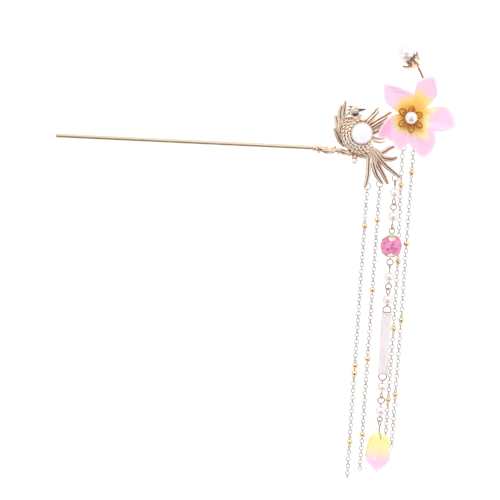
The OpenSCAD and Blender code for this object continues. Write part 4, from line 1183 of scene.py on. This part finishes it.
# angle round the middle, how far the yellow reaches there in mm, how pale it is there
heartReach = [(0, 7.4, 0.8), (12, 8.2, 0.95), (22, 11.5, 1.0), (34, 10.6, 0.8), (46, 10.6, 0.25),
              (60, 10.4, 0.0), (76, 11.8, 0.1), (88, 9.4, 0.1), (102, 8.7, 0.0), (120, 8.3, 0.0),
              (145, 7.6, 0.0), (180, 6.9, 0.25), (225, 6.9, 0.3), (270, 6.6, 0.7), (296, 8.2, 0.6),
              (312, 10.6, 0.9), (332, 8.4, 0.9), (360, 7.4, 0.8)]


def heartAt(angle):
    angle %= 360
    for (a0, r0, p0), (a1, r1, p1) in zip(heartReach, heartReach[1:]):
        if angle <= a1:
            f = eased((angle - a0) / (a1 - a0))
            return r0 + (r1 - r0) * f, p0 + (p1 - p0) * f
    return heartReach[-1][1:]


def bell(offset, half):
    return math.exp(-(offset / half) ** 2)


def furrowAt(name, share, t):
    # how deep a crease is, at a share of the way out and a place along the petal's edge
    if name == "upperRight":
        ends = between(0.0, (3.5 - abs(t - 3.5)) / 2, 1)
        return bell(share - petals["rolledRim"], petals["rolledHalf"]) * ends
    if name == "upperLeft":
        ends = min(1, t, max(0, 5.8 - t))
        sway = petals["creaseSway"] * math.sin(t)
        return sum(bell(share - crease - sway, petals["creaseHalf"]) * ends for crease in petals["creases"])
    return 0.0


def makeFlower():
    piece = newPiece()
    shapes = {name: dict(zip(petalColumns, row)) for name, row in petals["shapes"].items()}
    order = list(shapes)
    steps = petals["outward"]
    sections, marks = [], {name: [] for name in ("heart", "pale", "rim", "fold", "lilac", "crease", "across")}
    for i, name in enumerate(order):
        shape, after = shapes[name], shapes[order[(i + 1) % len(order)]]
        folded = name == "folded"
        afterAngle = after["notch"] + (360 if i + 1 == len(order) else 0)
        for j in range(petals["along"]):
            t = nextAt * j / petals["along"]
            edge, degrees = edgeOf(shape, after["notchOut"], t), angleOf(shape, afterAngle, t)
            angle = math.radians(degrees)
            side = ((t - tipAt) / 6) ** 2
            reach, pale = heartAt(degrees)
            section, rows = [], {mark: [] for mark in marks}
            for k in range(2 * steps + 2):  # out along the front, back along the back
                front = k <= steps
                share = (k if front else 2 * steps + 1 - k) / steps
                r = petals["hole"] + (edge - petals["hole"]) * share
                x, y = r * math.cos(angle), r * math.sin(angle)
                out = max(0.0, r - petals["flat"]) / (petals["long"] - petals["flat"])
                lean = petals["hingeLean"] * y
                spot = Vector((x * petals["waveStep"], y * petals["waveStep"], 3.1))
                wave = petals["wave"] * out * noise.noise(spot)
                climb = petals["riseTip"] * out ** 1.3 + petals["riseSide"] * side * out
                lift = petals["rise"] * climb + wave
                furrow = furrowAt(name, share, t)
                low, high = petals["hingeSpan"]
                hinge = bell(x - petals["hinge"] + lean, petals["hingeHalf"]) * folded * (low < y < high)
                channel = bell(t - tipAt, petals["dipWide"]) * math.sin(math.pi * share) * min(1, out * 4)
                dip = -petals["dip"] * channel * (not folded)
                middle = (petals["seat"] + lift + dip + petals["creaseHigh"] * furrow
                          + petals["hingeHigh"] * hinge)
                rounded = max(0, share - (1 - petals["edgeRound"])) ** 2 / petals["edgeRound"] ** 2
                thinned = 1 - petals["edgeThin"] * share ** 2
                half = petals["thick"] / 2 * thinned * math.sqrt(max(0.06, 1 - rounded))
                section.append(Vector((x, y, middle + (half if front else -half))))
                if folded:
                    blush = between(0.0, (petals["flap"] - x - lean) / petals["flapSoft"], 1.0)
                else:
                    blush = max(0.0, 1 - ((r - petals["blushAt"]) / petals["blushHalf"]) ** 2) * (1 - side)
                rim = between(0.0, (share - petals["rimFrom"]) / petals["rimSoft"], 1.0)
                rows["heart"].append(between(0.0, petals["heartFull"] - petals["heartFade"] * r / reach, 1.0))
                rows["pale"].append(pale)
                rows["rim"].append(rim * petals["rimShows"])
                rows["fold"].append(shape["fold"] * blush)
                rows["lilac"].append(shape["lilac"])
                # grey painted shade along the folds and the rolled rim
                rows["crease"].append(min(1.0, furrow))
                rows["across"].append(degrees * petals["veinStep"] * min(1, share * 2))
            sections.append(section)
            for mark in marks:
                marks[mark].append(rows[mark])
    addRings(piece, sections, marks, closed=True)
    return piece


makeObject("flowerPetals", makeFlower(), finishes["petal"], ["flower"], flowerPlace)

rosette = {
    "seat": 1.48, "start": 1.5, "tilt": 16,
    "plate": [(0.62, 0.0), (2.2, 0.0), (2.45, 0.25), (2.35, 0.55), (1.7, 0.62), (0.62, 0.5)],
    "grains": 12, "grainAt": 2.3, "grainHigh": 0.55, "grain": 0.26,  # grains round the pearl's seat
    # for each leaf: turn about the pearl and roll in degrees, length, half width; bent a little
    "leaves": [(25, -16, 3.4, 1.25), (88, 24, 3.3, 1.2), (146, 8, 4.2, 1.25), (215, -10, 4.3, 1.2),
               (274, 4, 4.5, 1.25), (324, 26, 4.3, 1.15)],
    "leafForm": [(0.2, 0.62), (0.5, 0.98), (0.8, 0.84)],  # share of the length, share of the half width
    "rim": 0.3, "ribRadii": (0.24, 0.14),
}


def makeRosette():
    piece = newPiece()
    base = Matrix.Translation((0, 0, rosette["seat"]))
    addLathe(piece, rosette["plate"], base, 40)
    for c, s in circle(rosette["grains"]):
        grainAt = base @ Vector((rosette["grainAt"] * c, rosette["grainAt"] * s, rosette["grainHigh"]))
        addBall(piece, grainAt, rosette["grain"], rows=6, around=10)
    for turn, roll, length, wide in rosette["leaves"]:
        leafPlace = (base @ Matrix.Rotation(math.radians(turn), 4, "Z")
                     @ Matrix.Translation((rosette["start"], 0, 0.25))
                     @ Matrix.Rotation(math.radians(-rosette["tilt"]), 4, "Y")
                     @ Matrix.Rotation(math.radians(roll), 4, "X"))
        outline = [(0, 0)] + [(length * s, wide * w) for s, w in rosette["leafForm"]] + [(length, 0)]
        outline += [(length * s, -wide * w) for s, w in reversed(rosette["leafForm"])]
        front = (leafPlace.to_3x3() @ Vector((0, 0, 1))).normalized()
        addWire(piece, [leafPlace @ Vector((x, y, 0)) for x, y in outline], rosette["rim"], spacing=0.3,
                closed=True, front=front, flat=1.2)
        rib = [(0.2, 0, 0.1), (length * 0.4, 0, 0.05), (length * 0.66, 0, 0)]
        addWire(piece, [leafPlace @ Vector(p) for p in rib], rosette["ribRadii"], sides=8, front=front)
    return piece


makeObject("flowerRosette", makeRosette(), finishes["rosette"], ["flower_core"], flowerPlace)
print("flower made")

# Chains
chain = {
    "linkWide": 1.8, "linkLong": 2.2, "wire": 0.32, "gap": 0.12,
    "ball": 2.6, "ballEye": 0.52, "eyeSink": 0.06,
    "pairShift": 1.27,  # how far each ball of a pair lies from their middle, in ball radii
    "pairNeck": 0.5,
    "unevenTurn": 0.16,  # radians
    "straightDown": 200,
}
chains = {
    # jump ring at the top, then runs of links and the ball after each; a route from top to bottom and the
    # heights of the balls, where the chain doesn't hang straight
    "chain1": {"node": "chain_1", "ring": "ring_1",
               "runs": [(9, "ball"), (37, "pair"), (17, "ball"), (9, None)]},
    "chain2": {"node": "chain_2", "ring": "ring_2",
               "runs": [(8, "ball"), (17, "ball"), (17, "ball"), (19, "ball"), (9, None)]},
    "chain3": {"node": "chain_3", "ring": "ring_4",
               "runs": [(7, "ball"), (17, "ball"), (15, "ball"), (17, "ball"), (9, None)],
               "route": [(37.6, 3.2, 1), (37.9, 3.3, -14), (39, 3.6, -45), (39.3, 4, -73), (39.3, 4.5, -103),
                         (39.4, 4.8, -120)],
               "ballHeights": [-13.9, -45.2, -73.1, -102.8]},
    "chain4": {"node": "chain_4", "ring": "ring_5",
               "runs": [(5, "ball"), (16, "ball"), (18, "ball"), (17, "ball"), (14, None)],
               "route": [(41.8, 2.2, 2), (41.7, 2.2, -38), (41.8, 2.2, -69), (41.6, 2.2, -100),
                         (41.6, 2.2, -125.7)],
               "ballHeights": [-8.4, -37.5, -69.0, -100.1]},
}
linkEnd = (chain["linkLong"] - chain["wire"]) / 2
linkSide = (chain["linkWide"] - chain["wire"]) / 2
ballEnd = chain["ball"] / 2 + 2 * chain["ballEye"] - chain["eyeSink"]
halfOf = {"link": linkEnd, "ball": ballEnd, "pair": ballEnd + chain["pairShift"] * chain["ball"] / 2}


def linkOutline(turn, centre, lean):
    # oval of one link; turn 0 lies in the plane of the ornament
    corners = []
    for c, s in circle(20):
        straight = (linkEnd - linkSide) * (1 if s > 0 else -1)
        across = Vector((linkSide * c * math.cos(turn), linkSide * c * math.sin(turn), 0))
        corners.append(centre + across + lean * (linkSide * s + straight))
    return corners


def addLink(piece, centre, turn, lean):
    front = Vector((math.sin(turn), -math.cos(turn), 0))
    addWire(piece, linkOutline(turn, centre, lean), chain["wire"] / 2, spacing=0.3, closed=True, front=front)


def routeAt(route, z):
    for a, b in zip(route, route[1:]):
        if z >= b[2]:
            f = (z - a[2]) / (b[2] - a[2])
            return Vector((a[0] + (b[0] - a[0]) * f, a[1] + (b[1] - a[1]) * f, z))
    return Vector((route[-1][0], route[-1][1], z))


def spreadRuns(kinds, heights, ballHeights):
    # each run spread a little so that its ball lies where the part has it
    stops = [0] + [i for i, kind in enumerate(kinds) if kind != "link"] + [len(kinds) - 1]
    targets = [heights[0]] + list(ballHeights) + [heights[-1] + ballHeights[-1] - heights[stops[-2]]]
    spread = list(heights)
    for i0, i1, t0, t1 in zip(stops, stops[1:], targets, targets[1:]):
        for i in range(i0, i1 + 1):
            spread[i] = t0 + (t1 - t0) * (heights[i] - heights[i0]) / (heights[i1] - heights[i0])
    return spread


def makeChain(name, plan):
    links, balls = newPiece(), newPiece()
    box = nodeBox(plan["ring"])
    down = box["middle"].copy()
    down.z = -chain["straightDown"]
    route = plan.get("route", [box["middle"], down])
    kinds = []
    for count, after in plan["runs"]:
        kinds += ["link"] * count + ([after] if after else [])
    z = box["low"].z + ringHang["wire"] + chain["wire"] / 2 + ringHang["gap"] - linkEnd
    heights = [z]
    for a, b in zip(kinds, kinds[1:]):
        z -= halfOf[a] + halfOf[b] - chain["wire"] - chain["gap"]
        heights.append(z)
    if "ballHeights" in plan:
        heights = spreadRuns(kinds, heights, plan["ballHeights"])
    for i, (kind, z) in enumerate(zip(kinds, heights)):
        turn = math.pi / 2 if i % 2 == 0 else 0.0
        centre = routeAt(route, z)
        lean = (routeAt(route, z + 1) - routeAt(route, z - 1)).normalized()
        if kind == "link":
            addLink(links, centre, turn + random.uniform(-chain["unevenTurn"], chain["unevenTurn"]), lean)
            continue
        for sign in (1, -1):  # a ball has an eye above and below, a pair has them on its two balls
            ballAt = centre + lean * (sign * (halfOf[kind] - ballEnd))
            if kind == "pair" or sign == 1:
                addBall(balls, ballAt, chain["ball"] / 2, rows=24, around=36)
            eyeAt = ballAt + lean * (sign * (ballEnd - chain["ballEye"]))
            axis = (1, 0, 0) if turn else (0, 1, 0)
            addTorus(links, eyeAt, axis, chain["ballEye"], chain["wire"] / 2, around=20)
        if kind == "pair":
            addWire(balls, [centre + lean, centre - lean], chain["pairNeck"], sides=14)
    makeObject(name + "Links", links, finishes["chain"], [plan["node"]])
    makeObject(name + "Balls", balls, finishes["ball"], [plan["node"]])


for name, plan in chains.items():
    makeChain(name, plan)
print("chains made")

# Pearl strand
strandLean = math.radians(0.4)
caps = {
    "petals": 4, "over": 0.13, "thick": 0.07,  # mm
    "first": 0.13, "last": 1.04,  # radians from the bead's pole where a petal starts and ends
    "turn": 100,  # degrees
    "halfWidths": (0.45, 0.95, 1.4, 1.6, 1.35, 0.2),
    "disc": 0.6, "discWire": 0.18,
    "rimFrom": 0.72, "rimHigh": 0.1, "ribHalf": 0.12, "ribHigh": 0.07,
    "lineAt": 0.66, "lineHalf": 0.07, "lineDark": 0.5, "edgeDark": 0.4,  # painted shade inside the rim and at the edge
    "rows": 18, "sides": 28,
}


def makeCap(sign):
    # stamped cap: petals with raised rims and a rib, laid over the bead's end
    piece = newPiece()
    box = nodeBox("pink_bead")
    radius = (box["high"].x - box["low"].x) / 2 + caps["over"]
    place = (Matrix.Translation(box["middle"]) @ Matrix.Rotation(-strandLean, 4, "Y")
             @ Matrix.Diagonal((1, 1, sign, 1)))

    def onBead(polar, spin, lift=0.0):
        r = radius + lift
        flat = r * math.sin(polar)
        return place @ Vector((flat * math.cos(spin), flat * math.sin(spin), r * math.cos(polar)))

    addTorus(piece, place @ Vector((0, 0, radius)), (0, 0, 1), caps["disc"], caps["discWire"])
    for k in range(caps["petals"]):
        middleSpin = 2 * math.pi * k / caps["petals"] - math.radians(caps["turn"])
        rings, dark = [], []
        for row in range(caps["rows"] + 1):
            share = row / caps["rows"]
            polar = caps["first"] + (caps["last"] - caps["first"]) * share
            half = valueAt(caps["halfWidths"], share)
            ring, shades = [], []
            for across, up in circle(caps["sides"]):
                rim = max(0.0, (abs(across) - caps["rimFrom"]) / (1 - caps["rimFrom"])) if up > 0 else 0.0
                rib = bell(across, caps["ribHalf"]) * (1 - share) if up > 0 else 0.0
                lift = caps["thick"] * up + caps["rimHigh"] * math.sin(math.pi * rim) + caps["ribHigh"] * rib
                ring.append(onBead(polar, middleSpin + across * half / (radius * math.sin(polar)), lift))
                # painted shade in a line inside each petal's rim and along its edge
                line = bell(abs(across) - caps["lineAt"], caps["lineHalf"]) * (up > 0)
                shades.append(caps["lineDark"] * line + caps["edgeDark"] * (abs(across) > 0.97))
            rings.append(ring)
            dark.append(shades)
        addRings(piece, rings, {"hollow": dark})
    return piece


makeObject("beadCapTop", makeCap(1), finishes["cap"], ["bead_cap_top"])
makeObject("beadCapBottom", makeCap(-1), finishes["cap"], ["bead_cap_bottom"])

drop = {
    "long": 16.4, "wide": 10.4, "folds": 5, "twist": 110, "aside": 0.06,
    # depth from the top and radius, as shares of length and width
    "form": [(0, 0.09), (0.03, 0.22), (0.10, 0.33), (0.20, 0.41), (0.32, 0.46), (0.45, 0.49), (0.56, 0.50),
             (0.66, 0.47), (0.75, 0.40), (0.83, 0.30), (0.90, 0.19), (0.96, 0.09), (1.0, 0.03)],
    "step": 0.09,  # how far each petal falls away under the next, as a share of the radius at the tip
    "lip": 0.07, "lipHigh": 0.4,  # raised lip where one petal laps the next, as a share of its width
    "lapPale": 0.3, "lapHalf": 0.05,
    "pinShows": 0.8, "pinHalf": 0.3, "pinEnd": 0.13,  # the pin seen through the front, down to this depth
    "rows": 90, "around": 180,
}


def makeDrop():
    piece = newPiece()
    box = nodeBox("drop")
    top = Matrix.Translation((box["middle"].x + drop["aside"], box["middle"].y, box["high"].z))
    place = top @ Matrix.Rotation(-strandLean, 4, "Y")
    rings, rims, stems = [], [], []
    for i in range(drop["rows"] + 1):
        depth, wide = splineAt(drop["form"], i / drop["rows"] * (len(drop["form"]) - 1))
        ring, rim, stem = [], [], []
        for k in range(drop["around"]):
            a = -2 * math.pi * k / drop["around"]
            turn = (math.degrees(a) + 540 - drop["twist"] * depth) * drop["folds"] / 360
            step = turn - math.floor(turn)
            edge = bell(1 - step, drop["lip"])
            r = drop["wide"] * wide * (1 - drop["step"] * depth * step * (1 - drop["lipHigh"] * edge))
            x, y = r * math.cos(a), r * math.sin(a)
            ring.append(place @ Vector((x, y, -depth * drop["long"])))
            lap = bell(min(step, 1 - step), drop["lapHalf"])
            rim.append(min(1.0, drop["lapPale"] * lap * min(1, depth * 2)))
            pin = math.exp(-(x / drop["pinHalf"]) ** 4) * between(0.0, (drop["pinEnd"] - depth) / 0.02, 1.0)
            stem.append(drop["pinShows"] * pin * (y < 0))
        rings.append(ring)
        rims.append(rim)
        stems.append(stem)
    addRings(piece, rings, {"rim": rims, "stem": stems})
    return piece


makeObject("dropBud", makeDrop(), finishes["drop"], ["drop"])

nodeFinish = {
    "stick": "stick", "opal": "opal", "pink_bead": "pinkGlass", "tube_bead": "tubeGlass",
    "eye_stone": "eyeStone",
}
for name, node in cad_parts.items():
    kind = nodeFinish.get(name) or ("pearl" if "pearl" in name else "wire")
    node.data.materials.clear()
    node.data.materials.append(finishes[kind])
    if name in nodeFinish or "pearl" in name or name.startswith(("pin_", "ring_")):
        for polygon in node.data.polygons:
            polygon.use_smooth = True
        node.data.set_sharp_from_angle(angle=math.radians(40))  # crisp rims on the tube and the wire ends
print("strand made")

# Studio
studio = {
    "floorDrop": 40,  # mm from the lowest piece to the floor
    "floorWide": 60000,
    "paper": "#F9F9F8", "paperShade": "#F7F7F6",
    "blotch": 30,  # mm, faint uneven tone of the paper, far coarser than its fibre so that it shows
    "felt": "#5A4E46",
    "sky": 1.0,
    # power, width of the light and its turn, in degrees
    "lamps": {"keyLight": (0.9, 38, (38, 0, -42)), "fillLight": (0.3, 70, (52, 0, 55))},
    # mm, corners of a dark cloth on the table before the ornament, seen only as a reflection
    "runner": (-260, -900, 210, -70),
    # dark side of the room, opposite the ornament's front, and greyer lower walls; they light the ornament
    # and mirror in it, while the camera itself sees white
    "darkSide": (-0.2, -0.97, 0.1), "darkSideEdge": (0.88, 0.96),
    "wallDark": 0.1, "wallEdge": (0.1, 0.6),
    "white": (1, 1, 1, 1), "dark": (0.05, 0.045, 0.04, 1),
}


def addStage(name, corners, level, finish):
    x0, y0, x1, y1 = corners
    mesh = bpy.data.meshes.new(name)
    outline = [(x * mm, y * mm, level * mm) for x, y in ((x0, y0), (x1, y0), (x1, y1), (x0, y1))]
    mesh.from_pydata(outline, [], [(0, 1, 2, 3)])
    mesh.materials.append(finish)
    sheet = bpy.data.objects.new(name, mesh)
    bpy.context.scene.collection.objects.link(sheet)
    return sheet


def makeTable():
    paper, tree, shader = startFinish("mattWhitePaper", Roughness=0.9)
    place = addNode(tree, "TexCoord").outputs["Object"]
    blotches = addNode(tree, "TexNoise", {"Vector": place, "Scale": perMetre(studio["blotch"]),
                                          "Detail": 2.0})
    tone = addNode(tree, "Mix", {0: blotches.outputs["Fac"], 6: toLinear(studio["paper"]),
                                 7: toLinear(studio["paperShade"])}, data_type="RGBA")
    tree.links.new(tone.outputs[2], shader.inputs["Base Color"])
    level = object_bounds()[0].z / mm - studio["floorDrop"]
    half = studio["floorWide"] / 2
    addStage("floor", (-half, -half, half, half), level, paper)
    felt, _, _ = startFinish("darkFelt", Roughness=0.95, Base_Color=toLinear(studio["felt"]))
    runner = addStage("runner", studio["runner"], level + 1, felt)
    for ray in ("camera", "diffuse", "shadow", "transmission"):
        setattr(runner, "visible_" + ray, False)


def makeLamps():
    for name, (power, wide, turn) in studio["lamps"].items():
        lamp = bpy.data.lights.new(name, "SUN")
        lamp.energy, lamp.angle = power, math.radians(wide)
        light = bpy.data.objects.new(name, lamp)
        light.rotation_euler = [math.radians(a) for a in turn]
        bpy.context.scene.collection.objects.link(light)


def makeRoom():
    world = bpy.data.worlds.new("studio")
    world.use_nodes = True
    bpy.context.scene.world = world
    tree = world.node_tree
    back = tree.nodes["Background"]
    place = addNode(tree, "TexCoord").outputs["Generated"]
    toFront = addNode(tree, "VectorMath", {0: place, 1: Vector(studio["darkSide"]).normalized()},
                      operation="DOT_PRODUCT")
    start, end = studio["darkSideEdge"]
    patch = addNode(tree, "MapRange", {"Value": toFront.outputs["Value"], "From Min": start, "From Max": end},
                    interpolation_type="SMOOTHSTEP")
    height = addNode(tree, "SeparateXYZ", {"Vector": place})
    start, end = studio["wallEdge"]
    walls = addNode(tree, "MapRange", {"Value": height.outputs["Z"], "From Min": start, "From Max": end,
                                       "To Min": studio["wallDark"], "To Max": 0.0})
    dark = addNode(tree, "Math", {0: patch.outputs["Result"], 1: walls.outputs["Result"]},
                   operation="MAXIMUM")
    seen = addNode(tree, "LightPath")
    room = addNode(tree, "Math", {0: dark.outputs[0], 1: seen.outputs["Is Camera Ray"]}, operation="SUBTRACT",
                   use_clamp=True)
    shade = addNode(tree, "Mix", {0: room.outputs[0], 6: studio["white"], 7: studio["dark"]},
                    data_type="RGBA")
    tree.links.new(shade.outputs[2], back.inputs["Color"])
    back.inputs["Strength"].default_value = studio["sky"]
    bpy.context.scene.view_settings.view_transform = "Standard"


makeTable()
makeLamps()
makeRoom()
print("studio made")
